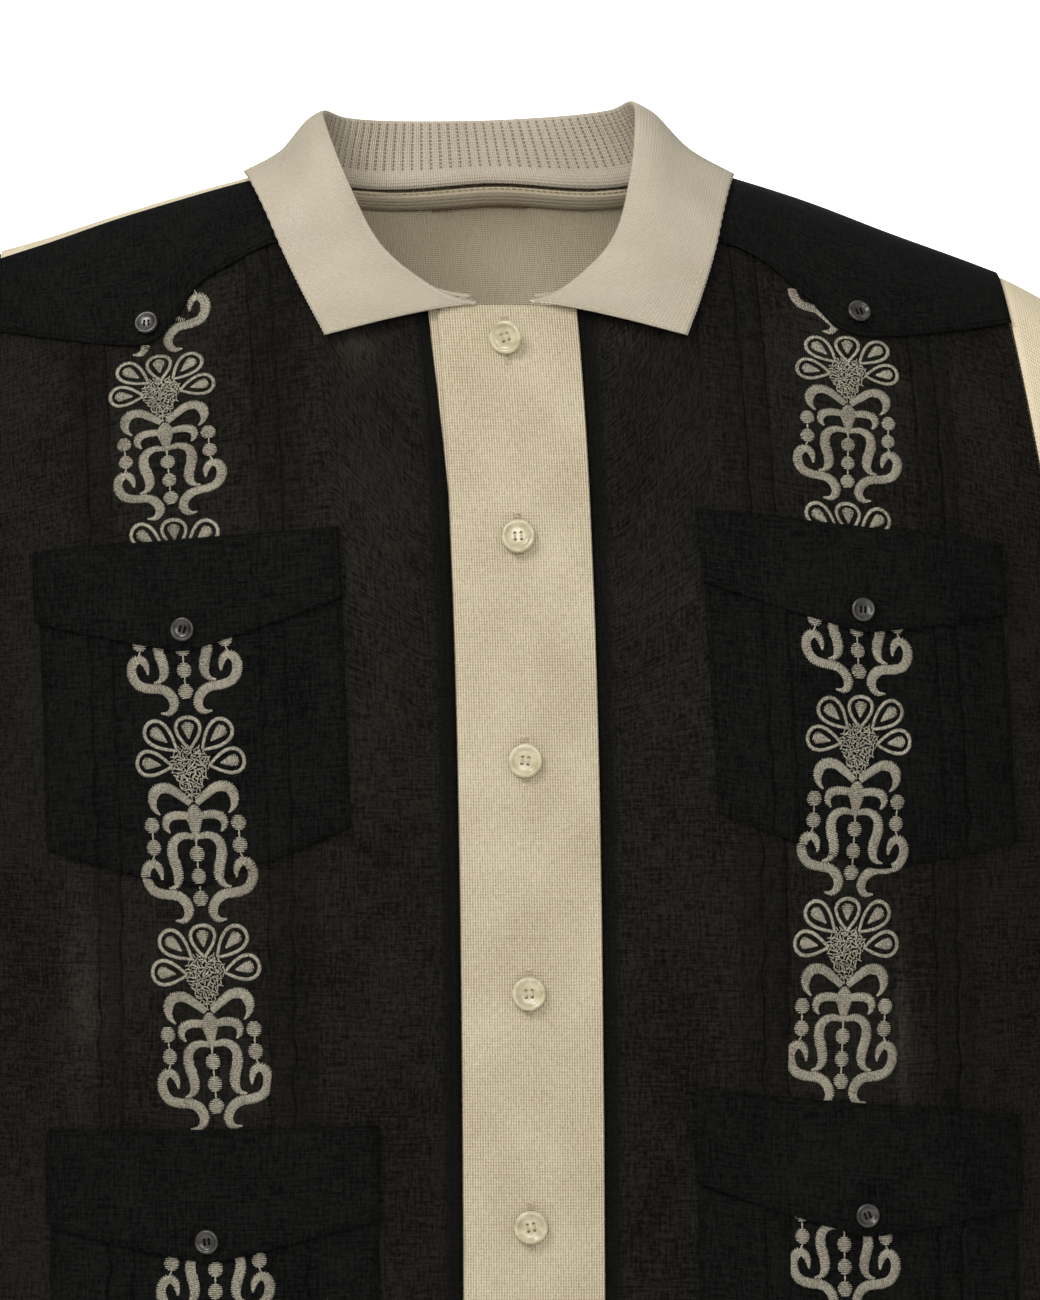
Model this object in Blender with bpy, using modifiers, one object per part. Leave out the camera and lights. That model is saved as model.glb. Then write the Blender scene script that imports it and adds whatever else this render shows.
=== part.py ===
"""A short-sleeved shirt of the guayabera cut, filled out with no wearer.

Metres, +Z up, the front towards -Y. The origin is at the middle of the neck, level with the shoulder line
where it meets the collar. Every front piece is drawn on one cloth form: s runs across from the middle of the
front or back, and d runs along the cloth from the shoulder ridge, positive down the front and negative down
the back. What lies on a panel is that form's points moved out.
"""
import math

import bmesh
import bpy
import numpy as np
from mathutils import Matrix, Vector

COLLECTION = "embroidered_shirt"

# The body's form
QUARTER_GIRTH = 0.280        # middle of the front to the side seam, round the chest
SECTION_POWER = 2.6          # how late the chest section turns towards the side
RIDGE_SLOPE = 0.287          # fall of the shoulder line, 16 degrees
RIDGE_ROUND = 0.030          # rounds the two shoulder lines into each other over the neck
NECK_SIDE = 0.075            # where the shoulder line is at height 0
RIGHT_DROP = 0.095           # the viewer's right shoulder falls this much more steeply
DROP_START = 0.092
DROP_ROUND = 0.012
LEAN = 0.0178                # how far the hem hangs to the viewer's right of the neck
LEAN_REACH = 0.125
HEM_Z = -0.720
ARMPIT_Z = -0.235
SHOULDER_TIP = 0.198         # half the width across the shoulders, along the cloth
SEAM_FORWARD = {-1: 0.020, 1: -0.003}    # the viewer's left shoulder seam shows forward of the ridge
ARM_REST = 0.168             # out to here the panels' columns run straight down
ARMHOLE_BOW = 2.2            # how late the armhole curves out to the side seam

# Neck seam, seen from above
NECK_HALF = 0.072
NECK_FRONT_Z = -0.0606
NECK_BACK = 0.0435
NECK_POWER = 2.6
NECK_CORNER = 0.071          # past here the back's neck seam runs up to the shoulder seam
NECK_CORNER_DEPTH = 0.021
# Columns beside the neck: their place down the panel, and where they meet the neck seam
NECK_COLUMNS = (
    (0.038, 0.0400), (0.045, 0.0540), (0.052, 0.0625), (0.058, 0.0672), (0.064, 0.0702), (0.069, 0.0716),
    (0.0735, 0.0720),
)

# Cloth
WALL = 0.0010
KNIT_WALL = 0.0014
GAP = 0.0003
SEAM = 0.00015               # half the gap between two pieces that are sewn edge to edge
TUCK_RISE = 0.0006
TUCK_WIDTH = 0.009
TUCK_OFFSETS = (-0.038, -0.029, 0.029, 0.038)
BAND_OUT = 0.1245            # middle of the embroidered band and of the pockets from the centre line

# Button placket
PLACKET_FREE = -0.0246
PLACKET_SEAM = 0.0262
UNDER_SEAM = -0.0254
UNDER_PEEK = 0.0034          # the under placket shows this much beside the top one at the neck
PEEK_END = -0.13             # height at which it no longer shows
PEEK_REACH = 0.07
UNDER_END = 0.0225
PLACKET_CORNER = 0.004

# Layers, as the middle of each wall over the middle of the front panel's wall
YOKE_LIFT = 0.0023
POCKET_LIFT = WALL + TUCK_RISE + 1.5 * GAP
FLAP_LIFT = POCKET_LIFT + WALL + TUCK_RISE + 1.5 * GAP
PLACKET_LIFT = (WALL + KNIT_WALL) / 2 + 1.5 * GAP

# Pockets: side, height of the flap's top at its middle, width, droop outwards in degrees, how far the sides
# move out for each metre down, and the lengths of the pocket and its flap at the sides and at the point
POCKETS = {
    "upper_left": dict(side=-1, z=-0.1480, out=0.1262, width=0.118, droop=4.4, spread=-0.018,
                       deep=0.1115, deep_point=0.1300, flap=0.0262, flap_point=0.0425),
    "upper_right": dict(side=1, z=-0.1428, out=0.1254, width=0.117, droop=6.0, spread=0.036,
                        deep=0.1125, deep_point=0.1285, flap=0.0270, flap_point=0.0405),
    "lower_left": dict(side=-1, z=-0.3672, out=0.1200, width=0.126, droop=1.6, spread=-0.010,
                       deep=0.1500, deep_point=0.1680, flap=0.0345, flap_point=0.0500),
    "lower_right": dict(side=1, z=-0.3575, out=0.1240, width=0.124, droop=5.2, spread=0.004,
                        deep=0.1500, deep_point=0.1680, flap=0.0345, flap_point=0.0500),
}

# Lower edge of the front yokes: distance out from the centre line, and height
YOKE_EDGE = (
    (0.062, -0.0325), (0.080, -0.0350), (0.093, -0.0390), (0.103, -0.0460), (0.110, -0.0530), (0.117, -0.0595),
    (0.124, -0.0670), (0.134, -0.0715), (0.147, -0.0715), (0.170, -0.0690), (0.205, -0.0640),
)
YOKE_LOWER = {-1: 0.0032, 1: 0.0}        # the viewer's left yoke is this much deeper
YOKE_RISE = {-1: 0.0085, 1: 0.0}         # and its edge falls later and more steeply beside the point
YOKE_RISE_OUT = 0.1155
YOKE_RISE_REACH = 0.0127

# Collar, by the angle round the neck from the middle of the front: the fold's height, and where the leaf's
# free edge lies on the cloth
FOLD_HEIGHT = (
    (0, -0.0588), (10, -0.0572), (25, -0.0485), (45, -0.0310), (60, -0.0088), (80, 0.0152), (100, 0.0226),
    (125, 0.0214), (180, 0.0202),
)
FOLD_TILT = 0.030            # the fold rises this much towards the viewer's right
LEAF_EDGE = (
    (6, 0.0675, 0.112), (30, 0.0755, 0.090), (55, 0.0835, 0.062), (90, 0.0940, 0.000),
    (120, 0.0850, -0.032), (150, 0.0550, -0.056), (180, 0.0000, -0.069),
)
FOLD_HALF = 0.061
FOLD_FRONT = 0.0800
FOLD_BACK = 0.0495
COLLAR_END = 6               # degrees from the middle of the front to the collar's end
LEAF_LIFT = 0.0044
LEAF_CLEAR = 0.0046          # the least that the leaf stands off the front's cloth
LEAF_BULGE = 0.0030
LEAF_SAG = 0.0044            # the leaf hangs this much hollow over the shoulder
SAG_MIDDLE = 90              # degrees round the neck
SAG_REACH = 30
TAPE_WIDTH = 0.0055
TAPE_DEEP = 0.0018           # middle of the tape, in from the middle of the back's wall

# Sleeves
SLEEVE_OUT = 50              # degrees of the sleeve's axis from straight down
SLEEVE_TOP_LENGTH = 0.240
CUFF_HALF_HEIGHT = 0.078
CUFF_HALF_DEPTH = 0.052
SLEEVE_GAP = 0.0013

# Buttons
FRONT_BUTTON_RADIUS = 0.00635
FRONT_BUTTON_DEPTH = 0.0026
DARK_BUTTON_RADIUS = 0.0045
DARK_BUTTON_DEPTH = 0.0022
FRONT_BUTTON_HEIGHTS = (-0.0736, -0.1472, -0.2301, -0.3163, -0.4025, -0.4887, -0.5749)
FLAP_BUTTON_ABOVE_POINT = 0.0088
YOKE_BUTTON = {-1: (0.1350, -0.0672), 1: (0.1335, -0.0632)}

# Soft folds of the hanging cloth: s, height of the middle, half length, half width, rise, and lean of the
# fold as s gained per metre down
FOLDS = (
    dict(s=-0.168, z=-0.560, length=0.150, width=0.0260, rise=0.0060, lean=-0.03),
    dict(s=0.176, z=-0.600, length=0.140, width=0.0300, rise=0.0055, lean=0.04),
    dict(s=-0.056, z=-0.640, length=0.110, width=0.0170, rise=0.0030, lean=0.02),
    dict(s=0.060, z=-0.650, length=0.110, width=0.0160, rise=0.0032, lean=-0.03),
)
BACK_FOLDS = (
    dict(s=-0.110, z=-0.520, length=0.200, width=0.0260, rise=0.0065, lean=0.05),
    dict(s=0.020, z=-0.600, length=0.170, width=0.0300, rise=0.0050, lean=-0.04),
    dict(s=0.135, z=-0.540, length=0.190, width=0.0280, rise=0.0060, lean=-0.06),
    dict(s=-0.150, z=-0.210, length=0.055, width=0.0160, rise=0.0035, lean=-0.9),
    dict(s=0.150, z=-0.200, length=0.055, width=0.0160, rise=0.0035, lean=0.9),
)

COLOURS = {
    "black_cloth": (0.012, 0.011, 0.010, 1.0), "cream_knit": (0.70, 0.62, 0.45, 1.0),
    "ivory_button": (0.78, 0.70, 0.52, 1.0), "dark_button": (0.045, 0.035, 0.028, 1.0),
}
ROUGHNESS = {"black_cloth": 0.85, "cream_knit": 0.80, "ivory_button": 0.25, "dark_button": 0.35}


def running_sum(values, steps):
    """Adds up values over steps by the trapezium rule, starting at nought."""
    parts = (values[1:] + values[:-1]) / 2 * np.diff(steps)
    return np.concatenate([[0.0], np.cumsum(parts)])


# The chest section, from the middle of the front to the side seam
SECTION_S = np.linspace(0, QUARTER_GIRTH, 561)
SECTION_TURN = math.pi / 2 * (SECTION_S / QUARTER_GIRTH) ** SECTION_POWER
SECTION_X = running_sum(np.cos(SECTION_TURN), SECTION_S)
SECTION_Y = running_sum(np.sin(SECTION_TURN), SECTION_S)
SECTION_DEPTH = SECTION_Y[-1] - SECTION_Y

# The roll of the cloth over the shoulder, from level at the ridge to hanging straight
ROLL_END = 9.0
ROLL_T = np.linspace(0, ROLL_END, 1801)
ROLL_TILT = math.pi / 2 * np.exp(-ROLL_T)
ROLL_FORWARD = running_sum(np.sin(ROLL_TILT), ROLL_T)
ROLL_REACH = ROLL_FORWARD[-1]
ROLL_FORWARD = ROLL_FORWARD / ROLL_REACH
ROLL_DOWN = running_sum(np.cos(ROLL_TILT), ROLL_T)
LEAST_ROLL = 0.004


def smooth_row(value, table, column):
    """Reads a column of a table at value, on a smooth curve through its rows."""
    keys = np.array([row[0] for row in table], dtype=float)
    data = np.array([row[column] for row in table], dtype=float)
    slopes = np.gradient(data, keys)
    value = np.clip(value, keys[0], keys[-1])
    place = np.clip(np.searchsorted(keys, value, side="right") - 1, 0, len(keys) - 2)
    span = keys[place + 1] - keys[place]
    t = (value - keys[place]) / span
    return (data[place] * (1 + 2 * t) * (1 - t) ** 2 + data[place + 1] * t ** 2 * (3 - 2 * t)
            + span * (slopes[place] * t * (1 - t) ** 2 - slopes[place + 1] * t ** 2 * (1 - t)))


def ridge_height(x):
    """Height of the shoulder ridge at x from the middle."""
    past = x - DROP_START
    extra = RIGHT_DROP * (past + np.sqrt(past ** 2 + DROP_ROUND ** 2)) / 2
    return RIDGE_SLOPE * (NECK_SIDE - np.sqrt(x ** 2 + RIDGE_ROUND ** 2)) - extra


def roll_size(s):
    """Length over which the cloth rolls from the ridge to hanging, at s."""
    return np.maximum(np.interp(np.abs(s), SECTION_S, SECTION_DEPTH), LEAST_ROLL) / ROLL_REACH


def lean_at(z):
    """How far the centre line has moved to the viewer's right at height z."""
    return LEAN * (1 - np.exp(np.minimum(z, 0.03) / LEAN_REACH))


def bare_form(s, d):
    """The body's form without folds: a point for each s and d."""
    s, d = np.broadcast_arrays(np.asarray(s, dtype=float), np.asarray(d, dtype=float))
    x = np.sign(s) * np.interp(np.abs(s), SECTION_S, SECTION_X)
    depth = np.interp(np.abs(s), SECTION_S, SECTION_DEPTH)
    size = roll_size(s)
    t = np.abs(d) / size
    down = np.interp(t, ROLL_T, ROLL_DOWN) + np.maximum(t - ROLL_END, 0)
    y = -np.sign(d) * depth * np.interp(t, ROLL_T, ROLL_FORWARD)
    z = ridge_height(x) - size * down
    return np.stack([x + lean_at(z), y, z], axis=-1)


def fold_rise(s, z, folds):
    """Sum of the soft folds at s and height z."""
    rise = np.zeros(np.shape(s))
    for fold in folds:
        along = (z - fold["z"]) / fold["length"]
        across = (s - fold["s"] + fold["lean"] * (z - fold["z"])) / fold["width"]
        rise = rise + fold["rise"] * np.exp(-along ** 2 - across ** 2)
    return rise


def cloth(s, d, lift=0.0):
    """A point of the hanging cloth, moved out from the body by lift."""
    s, d, lift = np.broadcast_arrays(np.asarray(s, float), np.asarray(d, float), np.asarray(lift, float))
    step = 0.0004
    point = bare_form(s, d)
    inner = np.minimum(np.abs(s), QUARTER_GIRTH - step) * np.where(s < 0, -1, 1)
    across = bare_form(inner + step, d) - bare_form(inner - step, d)
    along = bare_form(inner, d + step) - bare_form(inner, d - step)
    normal = np.cross(along, across)
    normal = normal / np.linalg.norm(normal, axis=-1, keepdims=True)
    front = fold_rise(s, point[..., 2], FOLDS)
    back = fold_rise(s, point[..., 2], BACK_FOLDS)
    fade = np.clip((QUARTER_GIRTH - np.abs(s)) / 0.04, 0, 1)
    rise = np.where(d > 0, front, back) * fade ** 2 * (3 - 2 * fade)
    return point + normal * (lift + rise)[..., None]


def along_to(s, z):
    """Distance d down the front at which the cloth at s is at height z."""
    s, z = np.broadcast_arrays(np.asarray(s, dtype=float), np.asarray(z, dtype=float))
    x = np.sign(s) * np.interp(np.abs(s), SECTION_S, SECTION_X)
    size = roll_size(s)
    down = (ridge_height(x) - z) / size
    t = np.interp(down, ROLL_DOWN, ROLL_T) + np.maximum(down - ROLL_DOWN[-1], 0)
    return t * size


def neck_along(s, reach, half=NECK_HALF):
    """Distance from the ridge along the cloth to the neck seam at s, for a neck that reaches that far."""
    across = np.clip(np.abs(s) / half, 0, 1)
    y = reach * (1 - across ** NECK_POWER) ** (1 / NECK_POWER)
    depth = np.interp(np.abs(s), SECTION_S, SECTION_DEPTH)
    return np.interp(y / depth, ROLL_FORWARD, ROLL_T) * roll_size(s)


NECK_FRONT = -float(bare_form(0.0, along_to(0.0, NECK_FRONT_Z))[1])


def new_material(name):
    """One plain material."""
    material = bpy.data.materials.new(name)
    material.use_nodes = True
    shader = material.node_tree.nodes["Principled BSDF"]
    shader.inputs["Base Color"].default_value = COLOURS[name]
    shader.inputs["Roughness"].default_value = ROUGHNESS[name]
    return material


def new_object(name, mesh, material):
    """Puts a mesh in the shirt's collection with its own copy of a material."""
    mesh.materials.append(material.copy())
    piece = bpy.data.objects.new(name, mesh)
    bpy.data.collections[COLLECTION].objects.link(piece)
    mesh.shade_smooth()
    return piece


def sheet(name, points, material, wall, closed=False):
    """A cloth wall over a grid of points; closed joins the last column to the first."""
    rows, columns = points.shape[:2]
    form = bmesh.new()
    verts = [[form.verts.new(points[r, c]) for c in range(columns)] for r in range(rows)]
    for r in range(rows - 1):
        for c in range(columns if closed else columns - 1):
            e = (c + 1) % columns
            form.faces.new((verts[r][c], verts[r][e], verts[r + 1][e], verts[r + 1][c]))
    mesh = bpy.data.meshes.new(name)
    form.to_mesh(mesh)
    form.free()
    piece = new_object(name, mesh, material)
    solidify = piece.modifiers.new("wall", "SOLIDIFY")
    solidify.thickness = wall
    solidify.offset = 0
    solidify.use_even_offset = False
    return piece


def tuck_columns(middle, side):
    """Columns across a panel for the tucks of one band, as s and rise.

    A tuck's folded edge stands up from the cloth under it, and the tuck lies flat from there.
    """
    columns = []
    for offset in TUCK_OFFSETS:
        toward = 1 if offset > 0 else -1
        columns.append((side * (middle + offset), TUCK_RISE))
        columns.append((side * (middle + offset - toward * 0.0008), 0.0))
    columns.append((side * (middle - 0.038 - TUCK_WIDTH), 0.0))
    columns.append((side * (middle + 0.038 + TUCK_WIDTH), 0.0))
    return columns


def panel_rows(side, columns, front, arm_columns):
    """Rows of s and d, from the hem up, for a panel.

    Each column is its place down the panel and its place at the top; more columns, as many as arm_columns,
    spread from the last of them to the armhole and the side seam.
    """
    s = np.array([side * place for place, top in columns] + [side * ARM_REST] * arm_columns)
    s_top = np.array([side * top for place, top in columns] + [side * ARM_REST] * arm_columns)
    u = np.array([0.0] * len(columns) + [(k + 1) / arm_columns for k in range(arm_columns)])
    girth = QUARTER_GIRTH - SEAM
    low = np.array([HEM_Z, -0.645, -0.57, -0.50, -0.44, -0.385, -0.34, -0.30, -0.265])
    climb = np.array([0, 0.10, 0.20, 0.30, 0.40, 0.50, 0.59, 0.67, 0.74, 0.80, 0.86, 0.91, 0.96, 1.0])
    seam = SEAM_FORWARD[side] + (SEAM if front else -SEAM)
    neck = neck_along(s_top, NECK_FRONT if front else NECK_BACK)
    is_neck = np.abs(s_top) < NECK_HALF - 1e-6
    if front:
        top = np.where(is_neck, np.maximum(neck, seam), seam)
    else:
        corner = np.abs(s_top) > NECK_CORNER
        top = np.where(is_neck, np.where(corner, np.maximum(-neck, seam - NECK_CORNER_DEPTH), -neck), seam)
    rows_s, rows_d = [], []
    for z in low:
        spread = s + side * u * (girth - ARM_REST)
        rows_s.append(spread)
        rows_d.append(along_to(spread, z) * (1 if front else -1))
    for climb_share in climb:
        bow = 1 - math.sqrt(1 - (1 - climb_share) ** ARMHOLE_BOW)
        reach = SHOULDER_TIP + (girth - SHOULDER_TIP) * bow
        spread = s + (s_top - s) * climb_share ** 2 + side * u * (reach - ARM_REST)
        at_armpit = along_to(spread, ARMPIT_Z) * (1 if front else -1)
        rows_s.append(spread)
        rows_d.append(at_armpit + (top - at_armpit) * climb_share)
    return np.array(rows_s), np.array(rows_d)


def front_panel(name, side, black):
    """One front panel, with the tucks beside its embroidered band."""
    inner = PLACKET_SEAM + GAP if side > 0 else -UNDER_SEAM
    beyond = [(0.110, 0.0), (BAND_OUT, 0.0), (0.139, 0.0)] + tuck_columns(BAND_OUT, 1)
    beyond = sorted((s, rise) for s, rise in beyond if 0.08 < s <= ARM_REST)
    columns = [(inner, inner)] + list(NECK_COLUMNS) + [(s, s) for s, rise in beyond]
    lift = np.array([0.0] * (1 + len(NECK_COLUMNS)) + [rise for s, rise in beyond] + [0.0] * 5)
    rows_s, rows_d = panel_rows(side, columns, True, 5)
    if side < 0:
        heights = bare_form(rows_s, rows_d)[..., 2]
        peek = UNDER_PEEK * np.clip((heights[:, 0] - PEEK_END) / PEEK_REACH, 0, 1)
        rows_s[:, 0] = rows_s[:, 0] - peek
    rise = np.broadcast_to(lift, rows_s.shape).copy()
    rise[-1] = 0.0
    points = cloth(rows_s, rows_d, rise)
    if side > 0:
        points = points[:, ::-1]
    return sheet(name, points[::-1], black, WALL)


def back_panel(cream):
    """The back in one piece, from side seam to side seam."""
    inner = [(0.0, 0.0), (0.020, 0.022)]
    outer = [(0.095, 0.095), (0.119, 0.119), (0.144, 0.144)]
    columns = inner + list(NECK_COLUMNS) + outer
    halves = []
    for side in (-1, 1):
        rows_s, rows_d = panel_rows(side, columns, False, 5)
        halves.append((rows_s, rows_d))
    rows_s = np.concatenate([halves[0][0][:, :0:-1], halves[1][0]], axis=1)
    rows_d = np.concatenate([halves[0][1][:, :0:-1], halves[1][1]], axis=1)
    points = cloth(rows_s, rows_d)
    return sheet("back", points, cream, WALL)


def yoke(name, side, black):
    """A pointed yoke over the top of a front panel, from the same columns and rows."""
    beyond = [0.083, 0.095, 0.104, 0.111, 0.118, 0.125, 0.134, 0.147, ARM_REST]
    columns = list(NECK_COLUMNS[3:]) + [(s, s) for s in beyond]
    rows_s, rows_d = panel_rows(side, columns, True, 3)
    edge_z = smooth_row(np.abs(rows_s[-4]), YOKE_EDGE, 1)
    out = np.abs(rows_s[-4])
    edge_z = edge_z - YOKE_LOWER[side] * np.clip((out - 0.085) / 0.03, 0, 1)
    edge_z = edge_z + YOKE_RISE[side] * np.exp(-((out - YOKE_RISE_OUT) / YOKE_RISE_REACH) ** 2)
    climb = np.linspace(0, 1, 8)
    grid_s = np.empty((len(climb), rows_s.shape[1]))
    grid_d = np.empty((len(climb), rows_s.shape[1]))
    for c in range(rows_s.shape[1]):
        heights = bare_form(rows_s[:, c], rows_d[:, c])[:, 2]
        start = np.interp(edge_z[c], heights, np.arange(len(heights)))
        places = start + (len(heights) - 1 - start) * climb
        grid_s[:, c] = np.interp(places, np.arange(len(heights)), rows_s[:, c])
        grid_d[:, c] = np.interp(places, np.arange(len(heights)), rows_d[:, c])
    points = cloth(grid_s, grid_d, YOKE_LIFT)
    if side > 0:
        points = points[:, ::-1]
    return sheet(name, points[::-1], black, WALL)


def pocket_place(spec, across, down):
    """s and d of a point of a pocket, across from its middle outwards and down from its top."""
    turn = math.radians(spec["droop"])
    out = spec["out"] + across * math.cos(turn) + down * spec["spread"]
    z = spec["z"] - across * math.sin(turn) - down
    s = spec["side"] * out
    return s, along_to(s, z)


def pocket_outline(across, width, side_length, point_length):
    """Length of a pocket or flap at a place across it, deepest at its middle, with the point rounded."""
    share = np.clip(1 - np.sqrt((2 * across / width) ** 2 + 0.004), 0, 1)
    return side_length + (point_length - side_length) * share ** 0.92


def pocket(name, spec, black):
    """A patch pocket with tucks that go on from the panel's."""
    half = spec["width"] / 2
    columns = [(-half, 0.0), (0.0, 0.0), (-0.014, 0.0), (0.014, 0.0), (half, 0.0)]
    columns += [(s, rise) for s, rise in tuck_columns(0.0, 1) if abs(s) < half]
    columns = np.array(sorted(columns))
    top = 0.006
    bottom = pocket_outline(columns[:, 0], spec["width"], spec["deep"], spec["deep_point"])
    rows = np.linspace(0, 1, 7)
    down = top + (bottom[None, :] - top) * rows[:, None]
    across = np.broadcast_to(columns[:, 0], down.shape)
    s, d = pocket_place(spec, across, down)
    lift = POCKET_LIFT + np.broadcast_to(columns[:, 1], down.shape)
    points = cloth(s, d, lift)
    if spec["side"] > 0:
        points = points[:, ::-1]
    return sheet(name, points, black, WALL)


def flap(name, spec, black):
    """A pointed flap over the top of its pocket."""
    half = spec["width"] / 2 + 0.0008
    across = np.array([-1, -0.8, -0.58, -0.36, -0.17, -0.05, 0, 0.05, 0.17, 0.36, 0.58, 0.8, 1]) * half
    bottom = pocket_outline(across, 2 * half, spec["flap"], spec["flap_point"])
    rows = np.linspace(0, 1, 4)
    down = bottom[None, :] * rows[:, None]
    s, d = pocket_place(spec, np.broadcast_to(across, down.shape), down)
    points = cloth(s, d, FLAP_LIFT)
    if spec["side"] > 0:
        points = points[:, ::-1]
    return sheet(name, points, black, WALL)


def placket(name, left, right, lift, wall, cream):
    """A button strip down the middle of the front; left and right give s for a height."""
    top_z = NECK_FRONT_Z
    heights = np.concatenate([
        [top_z, top_z - 0.0018, top_z - 0.006],
        np.linspace(-0.078, -0.262, 12), np.linspace(-0.30, HEM_Z, 9),
    ])
    shares = np.array([0, 0.09, 0.36, 0.64, 0.91, 1.0])
    rows = []
    for z in heights:
        rows.append(left(z) + (right(z) - left(z)) * shares)
    s = np.array(rows)
    d = along_to(s, heights[:, None])
    return sheet(name, cloth(s, d, lift), cream, wall)


def top_left_edge(z):
    """The top placket's free edge, with its corner rounded at the neck."""
    corner = max(0.0, 1 - (NECK_FRONT_Z - z) / PLACKET_CORNER)
    return PLACKET_FREE + PLACKET_CORNER * (1 - math.sqrt(1 - min(corner, 1) ** 2)) * 0.9


def top_right_edge(z):
    """The top placket's seam, a little over the panel."""
    return PLACKET_SEAM + 0.001


def under_left_edge(z):
    """The under placket's seam with the viewer's left panel."""
    return UNDER_SEAM + GAP - UNDER_PEEK * min(max((z - PEEK_END) / PEEK_REACH, 0), 1)


def under_right_edge(z):
    """The under placket's far edge, behind the top one."""
    return UNDER_END


def round_neck(angle, half, front, back):
    """A point seen from above on a neck ring, by the angle from the middle of the front."""
    sine, cosine = math.sin(angle), math.cos(angle)
    x = half * math.copysign(abs(sine) ** (2 / NECK_POWER), sine)
    y = (front if cosine > 0 else back) * abs(cosine) ** (2 / NECK_POWER)
    return x, -math.copysign(y, cosine)


def neck_place(angle, inset):
    """s and d of the neck seam at an angle, moved in towards the neck by inset."""
    x, y = round_neck(angle, NECK_HALF - inset, NECK_FRONT - inset, NECK_BACK - inset)
    s = math.copysign(np.interp(abs(x), SECTION_X, SECTION_S), x)
    depth = np.interp(abs(s), SECTION_S, SECTION_DEPTH)
    d = np.interp(abs(y) / depth, ROLL_FORWARD, ROLL_T) * roll_size(s)
    return s, -math.copysign(d, y)


def through(points, shares, at):
    """A smooth curve through points given at shares, read at the places at."""
    points = np.array(points)
    slopes = np.gradient(points, np.array(shares), axis=0)
    result = []
    for value in at:
        k = int(np.clip(np.searchsorted(shares, value, side="right") - 1, 0, len(shares) - 2))
        span = shares[k + 1] - shares[k]
        t = (value - shares[k]) / span
        result.append(points[k] * (1 + 2 * t) * (1 - t) ** 2 + points[k + 1] * t ** 2 * (3 - 2 * t)
                      + span * (slopes[k] * t * (1 - t) ** 2 - slopes[k + 1] * t ** 2 * (1 - t)))
    return np.array(result)


def clear_of_front(point, least):
    """Moves a point forward until it is at least that far off the front's cloth."""
    x = point[0] - lean_at(point[2])
    s = math.copysign(np.interp(abs(x), SECTION_X, SECTION_S), x)
    if point[2] >= ridge_height(x) - 0.002:
        return point
    off = cloth(s, along_to(s, point[2]), least)
    return np.array([point[0], min(point[1], off[1]), point[2]])


def collar_section(angle, at):
    """The collar's strip at an angle round the neck: up the stand, over the fold and down the leaf."""
    turned = math.degrees(min(angle, 2 * math.pi - angle))
    side = 1 if angle <= math.pi else -1
    base = cloth(*neck_place(angle, 0.0014))
    x, y = round_neck(angle, FOLD_HALF, FOLD_FRONT, FOLD_BACK)
    fold_z = float(smooth_row(turned, FOLD_HEIGHT, 1)) + FOLD_TILT * x
    fold = np.array([x + lean_at(fold_z), y, fold_z])
    edge_s = side * float(smooth_row(turned, LEAF_EDGE, 1))
    edge_d = float(smooth_row(turned, LEAF_EDGE, 2))
    edge = cloth(edge_s, edge_d, LEAF_LIFT)
    fall = edge - fold
    outward = cloth(edge_s * 0.92, edge_d * 0.86 + 1e-6, 0.01) - cloth(edge_s * 0.92, edge_d * 0.86 + 1e-6)
    outward = outward / np.linalg.norm(outward)
    stand = base + (fold - base) * 0.55
    sag = LEAF_SAG * math.exp(-((turned - SAG_MIDDLE) / SAG_REACH) ** 2)
    high = fold + fall * 0.14 + outward * (LEAF_BULGE * 0.62 - sag * 0.10)
    middle = fold + fall * 0.55 + outward * (LEAF_BULGE * 0.75 - sag)
    points = through([base, stand, fold, high, middle, edge], [0, 0.2, 0.38, 0.50, 0.75, 1], at)
    if turned < 88:
        for k, share in enumerate(at):
            if share > 0.35:
                points[k] = clear_of_front(points[k], LEAF_CLEAR * min(1, (share - 0.2) / 0.2))
    return points


def collar(cream):
    """The knitted collar: one strip that stands round the neck and folds over."""
    end = math.radians(COLLAR_END)
    angles = np.concatenate([
        np.linspace(end, math.radians(60), 9), np.linspace(math.radians(68), math.radians(292), 28),
        np.linspace(math.radians(300), 2 * math.pi - end, 9),
    ])
    at = (0, 0.14, 0.28, 0.36, 0.42, 0.50, 0.66, 0.83, 1)
    points = np.array([collar_section(angle, at) for angle in angles])
    return sheet("collar", points, cream, KNIT_WALL)


def neck_tape(cream):
    """Tape on the inside of the back, under the neck seam."""
    angles = np.radians(np.linspace(114, 246, 17))
    rows = []
    for inset in (-0.0012, -0.0012 - TAPE_WIDTH / 2, -0.0012 - TAPE_WIDTH):
        places = [neck_place(angle, inset) for angle in angles]
        rows.append([cloth(s, d, -TAPE_DEEP) for s, d in places])
    return sheet("neck_tape", np.array(rows), cream, WALL)


def arm_loop(side, count):
    """The armhole: points from the armpit up the front to the shoulder and down the back, and ways out."""
    points, ways = [], []
    for k in range(count):
        share = k / count
        front = share < 0.5
        climb = share * 2 if front else 2 - share * 2
        climb = 0.5 - 0.5 * math.cos(math.pi * climb)
        bow = 1 - math.sqrt(1 - (1 - climb) ** ARMHOLE_BOW)
        s = side * (SHOULDER_TIP + (QUARTER_GIRTH - SHOULDER_TIP) * bow)
        at_armpit = float(along_to(s, ARMPIT_Z)) * (1 if front else -1)
        d = at_armpit + (SEAM_FORWARD[side] - at_armpit) * climb
        point = cloth(s, d)
        across = cloth(s, d) - cloth(s - side * 0.002, d)
        across = across / np.linalg.norm(across)
        way = across * (0.35 + 0.65 * climb) + np.array([side, 0, -0.62]) * (1.05 - climb)
        points.append(point)
        ways.append(way / np.linalg.norm(way))
    return np.array(points), np.array(ways)


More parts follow.
